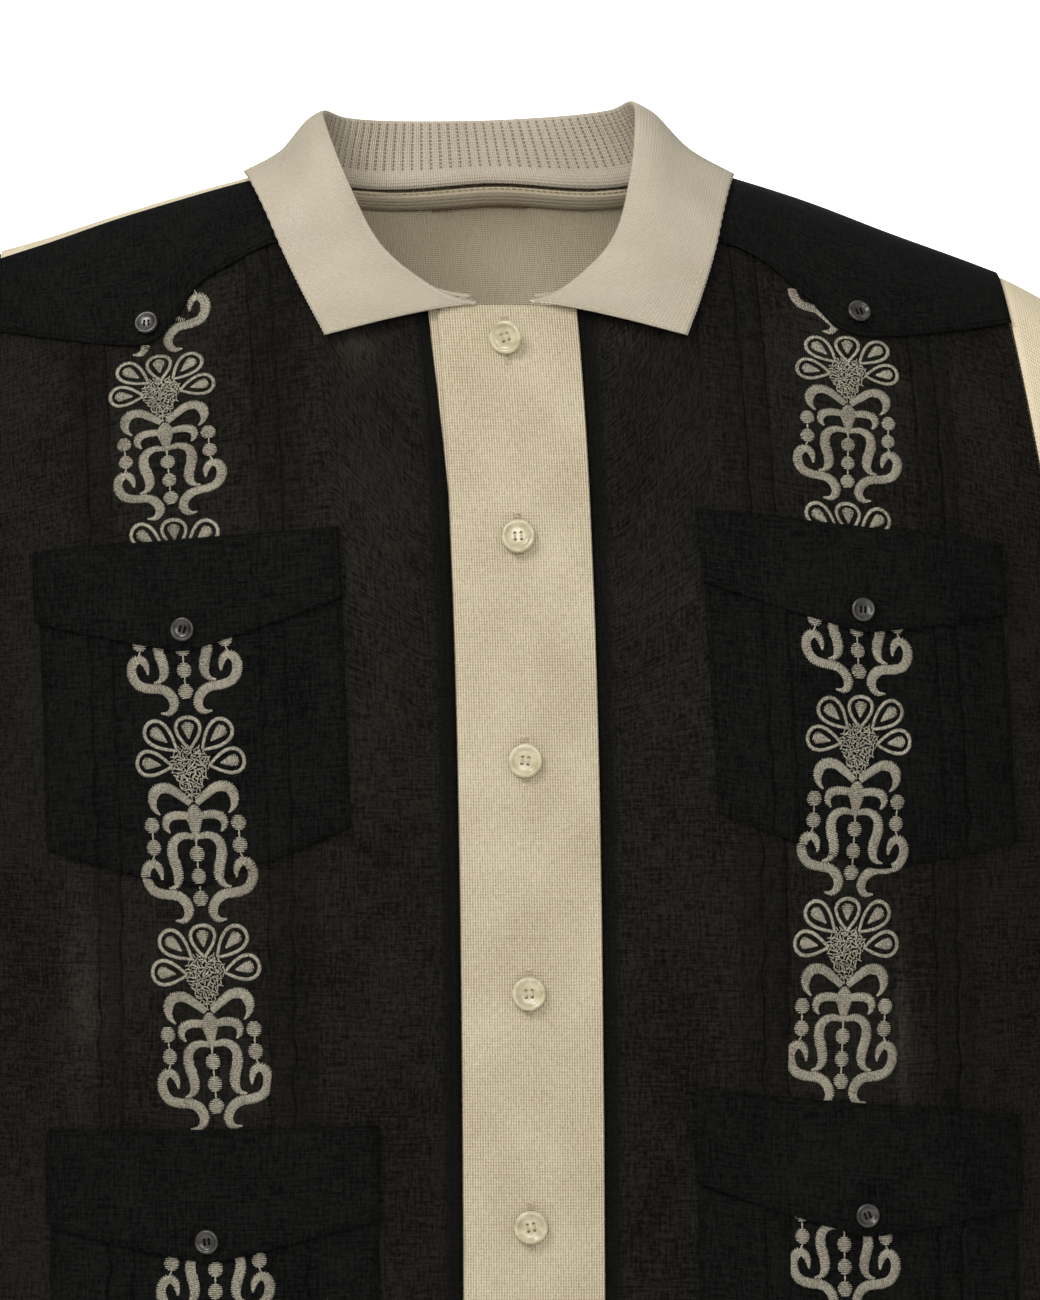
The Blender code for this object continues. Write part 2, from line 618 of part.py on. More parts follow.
def sleeve(name, side, cream):
    """A short sleeve from the armhole to its hem."""
    count = 30
    loop, ways = arm_loop(side, count)
    tilt = math.radians(SLEEVE_OUT)
    axis = np.array([side * math.sin(tilt), 0, -math.cos(tilt)])
    down = np.array([-side * math.cos(tilt), 0, -math.sin(tilt)])
    tip = cloth(side * SHOULDER_TIP, 1e-6)
    middle = tip + axis * SLEEVE_TOP_LENGTH + down * CUFF_HALF_HEIGHT
    ring = []
    for k in range(count):
        share = k / count
        angle = 2 * math.pi * share
        ring.append(middle + down * CUFF_HALF_HEIGHT * math.cos(angle)
                    + np.array([0, -1, 0]) * CUFF_HALF_DEPTH * math.sin(angle))
    ring = np.array(ring)
    start = loop + ways * SLEEVE_GAP
    pull = np.linalg.norm(ring - start, axis=1)[:, None]
    rows = []
    for q in (0, 0.06, 0.15, 0.28, 0.44, 0.62, 0.82, 1):
        rows.append(start * (1 + 2 * q) * (1 - q) ** 2 + ring * q * q * (3 - 2 * q)
                    + ways * pull * 0.8 * q * (1 - q) ** 2 - axis * pull * 0.8 * q * q * (1 - q))
    points = np.array(rows)
    if side < 0:
        points = points[:, ::-1]
    return sheet(name, points[:, ::-1], cream, WALL, closed=True)


def button(name, place, lift, radius, depth, material):
    """A turned button with a raised rim, lying on the cloth."""
    s, d = place
    middle = cloth(s, d, lift)
    normal = cloth(s, d, lift + 0.01) - middle
    rim = radius * 0.80
    profile = [
        (0, depth * 0.62), (rim * 0.72, depth * 0.62), (rim, depth), (radius * 0.94, depth * 0.95),
        (radius, depth * 0.55), (radius * 0.86, 0), (0, 0),
    ]
    mesh = bpy.data.meshes.new(name)
    form = bmesh.new()
    verts = [form.verts.new((x, 0, z)) for x, z in profile]
    for a, b in zip(verts, verts[1:]):
        form.edges.new((a, b))
    form.to_mesh(mesh)
    form.free()
    piece = new_object(name, mesh, material)
    turn = Vector(normal).to_track_quat("Z", "Y").to_matrix().to_4x4()
    piece.matrix_world = Matrix.Translation(Vector(middle)) @ turn
    screw = piece.modifiers.new("turned", "SCREW")
    screw.steps = 14
    screw.render_steps = 14
    screw.use_merge_vertices = True
    screw.merge_threshold = 0.00001
    screw.use_normal_calculate = True
    return piece


def main():
    """Builds the shirt."""
    for old in list(bpy.data.objects):
        bpy.data.objects.remove(old, do_unlink=True)
    shirt = bpy.data.collections.new(COLLECTION)
    bpy.context.scene.collection.children.link(shirt)
    black, cream, ivory, dark = [new_material(name) for name in COLOURS]

    front_panel("front_left", -1, black)
    front_panel("front_right", 1, black)
    back_panel(cream)
    yoke("yoke_left", -1, black)
    yoke("yoke_right", 1, black)
    for name, spec in POCKETS.items():
        pocket("pocket_" + name, spec, black)
        flap("flap_" + name, spec, black)
        point = pocket_place(spec, 0.0, spec["flap_point"] - FLAP_BUTTON_ABOVE_POINT)
        button("button_flap_" + name, point, FLAP_LIFT + WALL / 2 + GAP,
               DARK_BUTTON_RADIUS, DARK_BUTTON_DEPTH, dark)
    for side, name in ((-1, "left"), (1, "right")):
        out, z = YOKE_BUTTON[side]
        place = (side * out, along_to(side * out, z))
        button("button_yoke_" + name, place, YOKE_LIFT + WALL / 2 + GAP,
               DARK_BUTTON_RADIUS, DARK_BUTTON_DEPTH, dark)
    placket("placket_under", under_left_edge, under_right_edge, 0.0, WALL, cream)
    placket("placket_top", top_left_edge, top_right_edge, PLACKET_LIFT, KNIT_WALL, cream)
    for number, z in enumerate(FRONT_BUTTON_HEIGHTS, 1):
        button(f"button_front_{number}", (0.0, along_to(0.0, z)), PLACKET_LIFT + KNIT_WALL / 2 + GAP,
               FRONT_BUTTON_RADIUS, FRONT_BUTTON_DEPTH, ivory)
    collar(cream)
    neck_tape(cream)
    sleeve("sleeve_left", -1, cream)
    sleeve("sleeve_right", 1, cream)


main()
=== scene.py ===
"""Looks of an embroidered shirt that is filled out with no wearer.

Metres, +Z up, the front towards -Y, the viewer's right at +X. Every piece of cloth is drawn on one body
form: s runs across from the middle of the front or back, and d runs along the cloth from the shoulder
ridge, positive down the front and negative down the back.
"""
from __future__ import annotations

import logging
import math
from dataclasses import dataclass, field
from enum import Enum
from typing import Any, Sequence

import bmesh
import bpy
import numpy as np
from mathutils import Matrix, Vector

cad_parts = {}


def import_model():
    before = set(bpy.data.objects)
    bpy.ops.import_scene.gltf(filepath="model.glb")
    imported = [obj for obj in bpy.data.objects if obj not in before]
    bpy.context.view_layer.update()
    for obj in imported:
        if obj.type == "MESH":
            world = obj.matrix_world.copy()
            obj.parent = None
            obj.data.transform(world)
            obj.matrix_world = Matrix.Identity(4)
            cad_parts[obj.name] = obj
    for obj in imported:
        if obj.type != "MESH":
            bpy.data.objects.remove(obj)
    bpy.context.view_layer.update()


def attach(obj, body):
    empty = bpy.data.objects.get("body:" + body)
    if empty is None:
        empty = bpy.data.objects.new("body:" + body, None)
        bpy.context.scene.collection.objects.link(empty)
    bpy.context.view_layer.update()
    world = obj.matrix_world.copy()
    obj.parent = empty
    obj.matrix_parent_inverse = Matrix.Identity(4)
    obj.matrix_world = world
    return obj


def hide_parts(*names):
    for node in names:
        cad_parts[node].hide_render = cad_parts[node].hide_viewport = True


LOG = logging.getLogger("shirt")
Array = np.ndarray
FULL_TURN = 2 * math.pi
MM = 0.001
HOLE_FADE = 0.0008


class Side(Enum):
    """The viewer's left or right half of the shirt."""

    LEFT = -1
    RIGHT = 1

    @property
    def label(self) -> str:
        """The half's name in small letters."""
        return self.name.lower()


class Face(Enum):
    """Front or back of the body form."""

    FRONT = 1
    BACK = -1


def running_sum(values: Array, steps: Array) -> Array:
    """Adds up values over steps by the trapezium rule, starting at nought.

    Args:
        values: The values to add up.
        steps: Where each value stands.

    Returns:
        The sum up to each place.
    """
    parts = (values[1:] + values[:-1]) / 2 * np.diff(steps)
    return np.concatenate([[0.0], np.cumsum(parts)])


def path_lengths(points: Array) -> Array:
    """Gives how far along a row of points each of them lies."""
    return np.concatenate([[0.0], np.cumsum(np.linalg.norm(np.diff(points, axis=0), axis=1))])


def unit(vectors: Array) -> Array:
    """Gives vectors in the last axis the length 1."""
    return vectors / np.linalg.norm(vectors, axis=-1, keepdims=True)


def smooth_through(points: Array, keys: Array, at: Array) -> Array:
    """Reads a smooth curve that passes through points.

    Args:
        points: One row for each point.
        keys: The rising place of each point along the curve.
        at: The places to read.

    Returns:
        One row for each place.
    """
    points = np.asarray(points, dtype=float)
    if points.ndim == 1:
        points = points[:, None]
    keys = np.asarray(keys, dtype=float)
    slopes = np.gradient(points, keys, axis=0)
    at = np.clip(np.asarray(at, dtype=float), keys[0], keys[-1])
    k = np.clip(np.searchsorted(keys, at, side="right") - 1, 0, len(keys) - 2)
    span = (keys[k + 1] - keys[k])[..., None]
    t = (at - keys[k])[..., None] / span
    return (points[k] * (1 + 2 * t) * (1 - t) ** 2 + points[k + 1] * t ** 2 * (3 - 2 * t)
            + span * (slopes[k] * t * (1 - t) ** 2 - slopes[k + 1] * t ** 2 * (1 - t)))


def table_curve(value: Any, table: Sequence[Sequence[float]], column: int) -> Array:
    """Reads one column of a table on a smooth curve through its rows.

    Args:
        value: Where to read, in the unit of the first column.
        table: The rows.
        column: Which column to read.

    Returns:
        The column's value at each place.
    """
    keys = np.array([row[0] for row in table])
    data = np.array([row[column] for row in table])
    return smooth_through(data, keys, np.asarray(value, dtype=float))[..., 0]


@dataclass(frozen=True)
class Fold:
    """A soft fold of hanging cloth.

    Attributes:
        s: Its middle across the form.
        z: Height of its middle.
        length: Half its length.
        width: Half its width.
        rise: How far it stands out; a trough is negative.
        lean: How far it moves across for each metre down.
    """

    s: float
    z: float
    length: float
    width: float
    rise: float
    lean: float

    def at(self, s: Array, z: Array) -> Array:
        """Gives the fold's rise at s and z."""
        along = (z - self.z) / self.length
        across = (s - self.s + self.lean * (z - self.z)) / self.width
        return self.rise * np.exp(-along ** 2 - across ** 2)


@dataclass(frozen=True)
class Crease:
    """A narrow crease along a path on the cloth.

    Attributes:
        path: Points of s and z.
        width: Half its width.
        rise: Its height in the middle; a trough is negative.
        side_rise: A softer ridge beside it, for light and shade.
    """

    path: tuple[tuple[float, float], ...]
    width: float
    rise: float
    side_rise: float = 0.0

    def at(self, s: Array, z: Array) -> Array:
        """Gives the crease's rise.

        Args:
            s: Place across.
            z: Height.

        Returns:
            The rise at each place.
        """
        best = np.full(np.shape(s), 1e9)
        share = np.zeros(np.shape(s))
        signed = np.zeros(np.shape(s))
        count = len(self.path) - 1
        for k in range(count):
            ax, ay = self.path[k]
            bx, by = self.path[k + 1]
            dx, dy = bx - ax, by - ay
            span = math.hypot(dx, dy)
            t = ((s - ax) * dx + (z - ay) * dy) / span ** 2
            held = np.clip(t, 0, 1)
            off_x = s - ax - held * dx
            off_y = z - ay - held * dy
            gap = np.hypot(off_x, off_y)
            nearer = gap < best
            best = np.where(nearer, gap, best)
            share = np.where(nearer, (k + held) / count, share)
            signed = np.where(nearer, ((s - ax) * dy - (z - ay) * dx) / span, signed)
        taper = np.sin(np.pi * np.clip(share, 0, 1)) ** 0.7
        core = np.exp(-(best / self.width) ** 2)
        beside = np.exp(-((signed - 1.9 * self.width) / (1.3 * self.width)) ** 2
                        - (best / (4 * self.width)) ** 2)
        return taper * (self.rise * core + self.side_rise * beside)


@dataclass
class BodyForm:
    """The form that all the body's cloth hangs on, with the same sizes as the CAD model."""

    quarter_girth: float = 0.280
    section_power: float = 2.6
    ridge_slope: float = 0.287
    ridge_round: float = 0.030
    neck_side: float = 0.075
    right_drop: float = 0.095
    drop_start: float = 0.092
    drop_round: float = 0.012
    lean: float = 0.0178
    lean_reach: float = 0.125
    hem_z: float = -0.720
    armpit_z: float = -0.235
    shoulder_tip: float = 0.198
    arm_rest: float = 0.168
    neck_half: float = 0.072
    neck_front_z: float = -0.0606
    neck_back: float = 0.0435
    neck_power: float = 2.6
    seam: float = 0.00015
    roll_end: float = 9.0
    least_roll: float = 0.004
    seam_forward: dict[int, float] = field(default_factory=lambda: {-1: 0.020, 1: -0.003})
    folds: dict[Face, tuple[Any, ...]] = field(default_factory=dict)

    def __post_init__(self) -> None:
        """Works out the chest section and the roll over the shoulder."""
        s = np.linspace(0, self.quarter_girth, 561)
        turn = math.pi / 2 * (s / self.quarter_girth) ** self.section_power
        self.section_s = s
        self.section_x = running_sum(np.cos(turn), s)
        section_y = running_sum(np.sin(turn), s)
        self.section_depth = section_y[-1] - section_y
        t = np.linspace(0, self.roll_end, 1801)
        tilt = math.pi / 2 * np.exp(-t)
        self.roll_t = t
        forward = running_sum(np.sin(tilt), t)
        self.roll_reach = forward[-1]
        self.roll_forward = forward / self.roll_reach
        self.roll_down = running_sum(np.cos(tilt), t)
        self.neck_front = -float(self.bare(0.0, self.along_to(0.0, self.neck_front_z))[1])

    def ridge_height(self, x: Array) -> Array:
        """Gives the height of the shoulder ridge at x."""
        past = x - self.drop_start
        extra = self.right_drop * (past + np.sqrt(past ** 2 + self.drop_round ** 2)) / 2
        return self.ridge_slope * (self.neck_side - np.sqrt(x ** 2 + self.ridge_round ** 2)) - extra

    def roll_size(self, s: Array) -> Array:
        """Gives the length over which the cloth rolls down from the ridge."""
        depth = np.interp(np.abs(s), self.section_s, self.section_depth)
        return np.maximum(depth, self.least_roll) / self.roll_reach

    def lean_at(self, z: Array) -> Array:
        """Gives how far the centre line has moved to the viewer's right at z."""
        return self.lean * (1 - np.exp(np.minimum(z, 0.03) / self.lean_reach))

    def bare(self, s: Any, d: Any) -> Array:
        """Gives points of the form without folds.

        Args:
            s: Place across.
            d: Place along.

        Returns:
            Points, with x, y and z in the last axis.
        """
        s, d = np.broadcast_arrays(np.asarray(s, dtype=float), np.asarray(d, dtype=float))
        x = np.sign(s) * np.interp(np.abs(s), self.section_s, self.section_x)
        depth = np.interp(np.abs(s), self.section_s, self.section_depth)
        size = self.roll_size(s)
        t = np.abs(d) / size
        down = np.interp(t, self.roll_t, self.roll_down) + np.maximum(t - self.roll_end, 0)
        y = -np.sign(d) * depth * np.interp(t, self.roll_t, self.roll_forward)
        z = self.ridge_height(x) - size * down
        return np.stack([x + self.lean_at(z), y, z], axis=-1)

    def along_to(self, s: Any, z: Any) -> Array:
        """Gives d down the front at which the cloth at s is at height z.

        Args:
            s: Place across.
            z: Height.

        Returns:
            The distance down the front for each place.
        """
        s, z = np.broadcast_arrays(np.asarray(s, dtype=float), np.asarray(z, dtype=float))
        x = np.sign(s) * np.interp(np.abs(s), self.section_s, self.section_x)
        size = self.roll_size(s)
        down = (self.ridge_height(x) - z) / size
        t = np.interp(down, self.roll_down, self.roll_t) + np.maximum(down - self.roll_down[-1], 0)
        return t * size

    def cloth(self, s: Any, d: Any, lift: Any = 0.0) -> Array:
        """Gives points of the hanging cloth with its folds.

        Args:
            s: Place across.
            d: Place along.
            lift: How far out from the body.

        Returns:
            Points, with x, y and z in the last axis.
        """
        s, d, lift = np.broadcast_arrays(np.asarray(s, float), np.asarray(d, float), np.asarray(lift, float))
        step = 0.0004
        point = self.bare(s, d)
        inner = np.minimum(np.abs(s), self.quarter_girth - step) * np.where(s < 0, -1, 1)
        across = self.bare(inner + step, d) - self.bare(inner - step, d)
        along = self.bare(inner, d + step) - self.bare(inner, d - step)
        normal = np.cross(along, across)
        normal = unit(normal)
        z = point[..., 2]
        front = sum((fold.at(s, z) for fold in self.folds.get(Face.FRONT, ())), np.zeros(s.shape))
        back = sum((fold.at(s, z) for fold in self.folds.get(Face.BACK, ())), np.zeros(s.shape))
        fade = np.clip((self.quarter_girth - np.abs(s)) / 0.04, 0, 1)
        rise = np.where(d > 0, front, back) * fade ** 2 * (3 - 2 * fade)
        return point + normal * (lift + rise)[..., None]

    def neck_along(self, s: Array, reach: float) -> Array:
        """Gives the distance from the ridge to the neck seam at s, for a neck that reaches that far."""
        across = np.clip(np.abs(s) / self.neck_half, 0, 1)
        y = reach * (1 - across ** self.neck_power) ** (1 / self.neck_power)
        depth = np.interp(np.abs(s), self.section_s, self.section_depth)
        return np.interp(y / depth, self.roll_forward, self.roll_t) * self.roll_size(s)

    def round_neck(self, angle: float, half: float, front: float, back: float) -> tuple[float, float]:
        """Gives a point of a neck ring seen from above.

        Args:
            angle: Turn from the middle of the front.
            half: Half width.
            front: Reach at the front.
            back: Reach at the back.

        Returns:
            x and y.
        """
        sine, cosine = math.sin(angle), math.cos(angle)
        x = half * math.copysign(abs(sine) ** (2 / self.neck_power), sine)
        y = (front if cosine > 0 else back) * abs(cosine) ** (2 / self.neck_power)
        return x, -math.copysign(y, cosine)

    def neck_place(self, angle: float, inset: float) -> tuple[float, float]:
        """Gives s and d of the neck seam at an angle, moved in towards the neck by inset."""
        x, y = self.round_neck(angle, self.neck_half - inset, self.neck_front - inset, self.neck_back - inset)
        s = math.copysign(np.interp(abs(x), self.section_x, self.section_s), x)
        depth = np.interp(abs(s), self.section_s, self.section_depth)
        d = np.interp(abs(y) / depth, self.roll_forward, self.roll_t) * float(self.roll_size(s))
        return s, -math.copysign(d, y)


HANGING_FRONT = (
    Fold(-0.168, -0.560, 0.150, 0.0260, 0.0060, -0.03),
    Fold(0.176, -0.600, 0.140, 0.0300, 0.0055, 0.04),
    Fold(-0.056, -0.640, 0.110, 0.0170, 0.0030, 0.02),
    Fold(0.060, -0.650, 0.110, 0.0160, 0.0032, -0.03),
)
HANGING_BACK = (
    Fold(-0.110, -0.520, 0.200, 0.0260, 0.0065, 0.05),
    Fold(0.020, -0.600, 0.170, 0.0300, 0.0050, -0.04),
    Fold(0.135, -0.540, 0.190, 0.0280, 0.0060, -0.06),
    Fold(-0.150, -0.210, 0.055, 0.0160, 0.0035, -0.9),
    Fold(0.150, -0.200, 0.055, 0.0160, 0.0035, 0.9),
)
FRONT_CREASES = (
    Crease(((-0.0848, -0.0500), (-0.0801, -0.0891), (-0.0762, -0.1102), (-0.0704, -0.1420)), 0.0022, 0.0011),
    Crease(((-0.0900, -0.2640), (-0.0656, -0.2593), (-0.0360, -0.2834), (-0.0300, -0.2875)), 0.0035,
           -0.0016, 0.0010),
    Crease(((-0.0545, -0.3176), (-0.0420, -0.3150), (-0.0290, -0.3135)), 0.0028, -0.0009, 0.0006),
    Crease(((0.0700, -0.0560), (0.0760, -0.0900), (0.0740, -0.1280)), 0.0030, 0.0007),
    Crease(((0.0330, -0.0950), (0.0480, -0.1150), (0.0600, -0.1400)), 0.0040, 0.0006),
    Crease(((-0.0330, -0.0900), (-0.0500, -0.1200), (-0.0560, -0.1600)), 0.0040, 0.0006),
    Crease(((0.0560, -0.1900), (0.0480, -0.2400), (0.0520, -0.3000)), 0.0050, 0.0007),
    Crease(((-0.0500, -0.1700), (-0.0470, -0.2100), (-0.0530, -0.2480)), 0.0045, 0.0007),
    Crease(((0.0500, -0.3300), (0.0570, -0.3900), (0.0520, -0.4500)), 0.0050, 0.0009),
    Crease(((-0.0520, -0.3500), (-0.0480, -0.4100), (-0.0550, -0.4700)), 0.0050, 0.0009),
    Crease(((0.2050, -0.1500), (0.1990, -0.2100), (0.2100, -0.2600)), 0.0060, 0.0016),
    Crease(((-0.2050, -0.1500), (-0.2000, -0.2100), (-0.2120, -0.2550)), 0.0060, 0.0016),
    Crease(((0.2450, -0.2500), (0.2150, -0.3000), (0.1960, -0.3700)), 0.0070, 0.0020),
    Crease(((-0.2450, -0.2500), (-0.2180, -0.3050), (-0.1980, -0.3650)), 0.0070, 0.0020),
)
BACK_CREASES = (
    Crease(((-0.0900, -0.0600), (-0.0700, -0.1400), (-0.0820, -0.2300)), 0.0080, 0.0016),
    Crease(((0.0950, -0.0500), (0.0760, -0.1500), (0.0800, -0.2500)), 0.0080, 0.0016),
    Crease(((-0.0200, -0.3000), (0.0100, -0.3700), (-0.0050, -0.4500)), 0.0070, 0.0014),
    Crease(((0.1900, -0.2900), (0.1600, -0.3500), (0.1500, -0.4300)), 0.0080, 0.0018),
    Crease(((-0.2000, -0.2800), (-0.1700, -0.3300), (-0.1560, -0.4200)), 0.0080, 0.0018),
)


@dataclass(frozen=True)
class PocketPlan:
    """Sizes and place of a pocket and its flap.

    Attributes:
        name: Its name.
        side: The half that it is on.
        z: Height of the flap's top in the middle.
        out: Its middle's distance from the centre line.
        width: Its width.
        droop: Fall outwards, in degrees.
        spread: How far the sides move out for each metre down.
        deep: Length of the pocket's sides.
        deep_point: Its length at the point.
        flap: Length of the flap's sides.
        flap_point: Its length at the point.
    """

    name: str
    side: Side
    z: float
    out: float
    width: float
    droop: float
    spread: float
    deep: float
    deep_point: float
    flap: float
    flap_point: float

    def place(self, form: BodyForm, across: Any, down: Any) -> tuple[Array, Array]:
        """Gives s and d of a point of the pocket.

        Args:
            form: The body form.
            across: Distance from the pocket's middle outwards.
            down: Distance down from its top.

        Returns:
            s and d.
        """
        turn = math.radians(self.droop)
        out = self.out + across * math.cos(turn) + down * self.spread
        z = self.z - across * math.sin(turn) - down
        s = self.side.value * out
        return s, form.along_to(s, z)

    def outline(self, across: Any, width: float, side_length: float, point_length: float) -> Array:
        """Gives the length at a place across, deepest in the middle."""
        share = np.clip(1 - np.sqrt((2 * across / width) ** 2 + 0.004), 0, 1)
        return side_length + (point_length - side_length) * share ** 0.92


POCKETS = (
    PocketPlan("upper_left", Side.LEFT, -0.1480, 0.1262, 0.118, 4.4, -0.018, 0.1115, 0.1300, 0.0262, 0.0425),
    PocketPlan("upper_right", Side.RIGHT, -0.1428, 0.1254, 0.117, 6.0, 0.036, 0.1125, 0.1285, 0.0270, 0.0405),
    PocketPlan("lower_left", Side.LEFT, -0.3672, 0.1200, 0.126, 1.6, -0.010, 0.1500, 0.1680, 0.0345, 0.0500),
    PocketPlan("lower_right", Side.RIGHT, -0.3575, 0.1240, 0.124, 5.2, 0.004, 0.1500, 0.1680, 0.0345, 0.0500),
)


class Value:
    """A shader socket that can stand in an expression."""

    def __init__(self, bench: "Bench", socket: Any) -> None:
        """Keeps the socket and the bench that it belongs to."""
        self.bench = bench
        self.socket = socket

    def _join(self, operation: str, first: Any, second: Any) -> "Value":
        """Adds one Math node."""
        node = self.bench.node("ShaderNodeMath", {"operation": operation}, {0: first, 1: second})
        return Value(self.bench, node.outputs[0])

    def __add__(self, other: Any) -> "Value":
        """Adds."""
        return self._join("ADD", self, other)

    def __radd__(self, other: Any) -> "Value":
        """Adds to a number."""
        return self._join("ADD", other, self)

    def __sub__(self, other: Any) -> "Value":
        """Subtracts."""
        return self._join("SUBTRACT", self, other)

    def __rsub__(self, other: Any) -> "Value":
        """Subtracts from a number."""
        return self._join("SUBTRACT", other, self)

    def __mul__(self, other: Any) -> "Value":
        """Multiplies."""
        return self._join("MULTIPLY", self, other)

    def __rmul__(self, other: Any) -> "Value":
        """Multiplies a number."""
        return self._join("MULTIPLY", other, self)

    def __pow__(self, other: Any) -> "Value":
        """Raises to a power."""
        return self._join("POWER", self, other)

    def __gt__(self, other: Any) -> "Value":
        """Gives 1 where the value is greater."""
        return self._join("GREATER_THAN", self, other)

    def sine(self) -> "Value":
        """Gives the sine."""
        return self._join("SINE", self, 0.0)

    def absolute(self) -> "Value":
        """Gives the size without its sign."""
        return self._join("ABSOLUTE", self, 0.0)

    def step(self, low: float, high: float) -> "Value":
        """Gives a smooth step from 0 at low to 1 at high."""
        settings = {"interpolation_type": "SMOOTHSTEP"}
        node = self.bench.node("ShaderNodeMapRange", settings,
                               {"Value": self, "From Min": low, "From Max": high})
        return Value(self.bench, node.outputs["Result"])


class Bench:
    """Builds one material's nodes."""

    def __init__(self, name: str) -> None:
        """Starts a material with its Principled shader."""
        self.material = bpy.data.materials.new(name)
        self.material.use_nodes = True
        self.tree = self.material.node_tree
        self.shader = self.tree.nodes["Principled BSDF"]

    def node(self, kind: str, settings: dict[str, Any], inputs: dict[Any, Any]) -> Any:
        """Adds a node.

        Args:
            kind: The node's type.
            settings: Its settings, which are set first.
            inputs: Values or links of its sockets.

        Returns:
            The node.
        """
        node = self.tree.nodes.new(kind)
        for key, value in settings.items():
            setattr(node, key, value)
        for key, value in inputs.items():
            self.feed(node.inputs[key], value)
        return node

    def feed(self, socket: Any, value: Any) -> None:
        """Links a value to a socket, or sets it."""
        if isinstance(value, Value):
            self.tree.links.new(value.socket, socket)
        else:
            socket.default_value = value

    def cloth_place(self) -> tuple[Value, Value, Value]:
        """Gives the flat cloth's vector, and its u and v in metres."""
        node = self.node("ShaderNodeUVMap", {"uv_map": "flat"}, {})
        vector = Value(self, node.outputs["UV"])
        split = self.node("ShaderNodeSeparateXYZ", {}, {"Vector": vector})
        return vector, Value(self, split.outputs["X"]), Value(self, split.outputs["Y"])

    def object_place(self) -> Value:
        """Gives the place in the object's own space."""
        return Value(self, self.node("ShaderNodeTexCoord", {}, {}).outputs["Object"])

    def attribute(self, name: str) -> Value:
        """Gives a number that the mesh's points carry."""
        return Value(self, self.node("ShaderNodeAttribute", {"attribute_name": name}, {}).outputs["Fac"])

    def noise(self, vector: Value, size: tuple[float, float, float], detail: float = 2.0) -> Value:
        """Gives a soft noise from 0 to 1.

        Args:
            vector: Where to read it.
            size: Its grain in metres along each axis.
            detail: How much finer grain it has.

        Returns:
            The noise.
        """
        scale = tuple(1 / grain for grain in size)
        place = self.node("ShaderNodeVectorMath", {"operation": "MULTIPLY"}, {0: vector, 1: scale})
        node = self.node("ShaderNodeTexNoise", {}, {
            "Vector": Value(self, place.outputs[0]), "Scale": 1.0, "Detail": detail, "Roughness": 0.5})
        return Value(self, node.outputs["Fac"])

    def mix(self, share: Any, first: Any, second: Any) -> Value:
        """Mixes two colours.

        Args:
            share: From 0 for the first to 1 for the second.
            first: A colour or a link.
            second: A colour or a link.

        Returns:
            The mixed colour.
        """
        node = self.tree.nodes.new("ShaderNodeMix")
        node.data_type = "RGBA"
        self.feed(node.inputs[0], share)
        self.feed(node.inputs[6], first)
        self.feed(node.inputs[7], second)
        return Value(self, node.outputs[2])

    def bump(self, height: Value, strength: float, distance: float) -> None:
        """Feeds the shader's Normal from a height."""
        node = self.node("ShaderNodeBump", {}, {"Height": height, "Strength": strength, "Distance": distance})
        self.feed(self.shader.inputs["Normal"], Value(self, node.outputs["Normal"]))

    def set(self, **values: Any) -> None:
        """Sets or links the shader's own sockets, with spaces written as underscores."""
        for key, value in values.items():
            self.feed(self.shader.inputs[key.replace("_", " ")], value)


Colour = tuple[float, float, float, float]


@dataclass(frozen=True)
class SheerBlack:
    """Black plain-woven cloth with uneven threads, painted light where light shows through it and painted
    shadow at the tucks' feet.

    Attributes:
        name: The material's name.
        dark: Colour of the darker threads.
        light: Colour of the lighter threads.
        deep: Colour where the cloth lies double.
        through: Painted light: the colour painted where light from behind shines through the cloth.
    """

    name: str
    dark: Colour
    light: Colour
    deep: Colour = (0.0035, 0.0036, 0.0036, 1)
    through: Colour = (0.050, 0.046, 0.036, 1)

    def make(self) -> Any:
        """Builds the material.

        Returns:
            The Blender material.
        """
        bench = Bench(self.name)
        vector, u, v = bench.cloth_place()
        warp = bench.noise(vector, (0.0008, 0.009, 1.0), 3.0)
        weft = bench.noise(vector, (0.011, 0.0008, 1.0), 3.0)
        grain = bench.noise(vector, (0.0016, 0.0016, 1.0), 2.0)
        cloud = bench.noise(vector, (0.035, 0.05, 1.0), 2.0)
        weave = (u * (FULL_TURN / 0.0011)).sine() * (v * (FULL_TURN / 0.0011)).sine()
        threads = (warp + weft + grain) * (1 / 3)
        share = (threads - 0.5) * 4.0 + 0.5 + weave * 0.08 + (cloud - 0.5) * 0.6
        colour = bench.mix(bench.attribute("doubled") * 0.75,
                           bench.mix(share.step(0.0, 1.0), self.dark, self.light), self.deep)
        # Painted light: lighter patches where a mask marks light from behind shining through the cloth.
        colour = bench.mix(bench.attribute("sheer") * share.step(-0.3, 1.3), colour, self.through)
        # Painted shadow: near-black lines at the tucks' feet, from the line mask.
        colour = bench.mix(bench.attribute("line") * 0.85, colour, (0.0008, 0.0008, 0.0008, 1))
        bench.set(Base_Color=colour, Roughness=0.85, Specular_IOR_Level=0.05)
        bench.bump(threads + weave * 0.3, 0.7, 0.0004)
        return bench.material


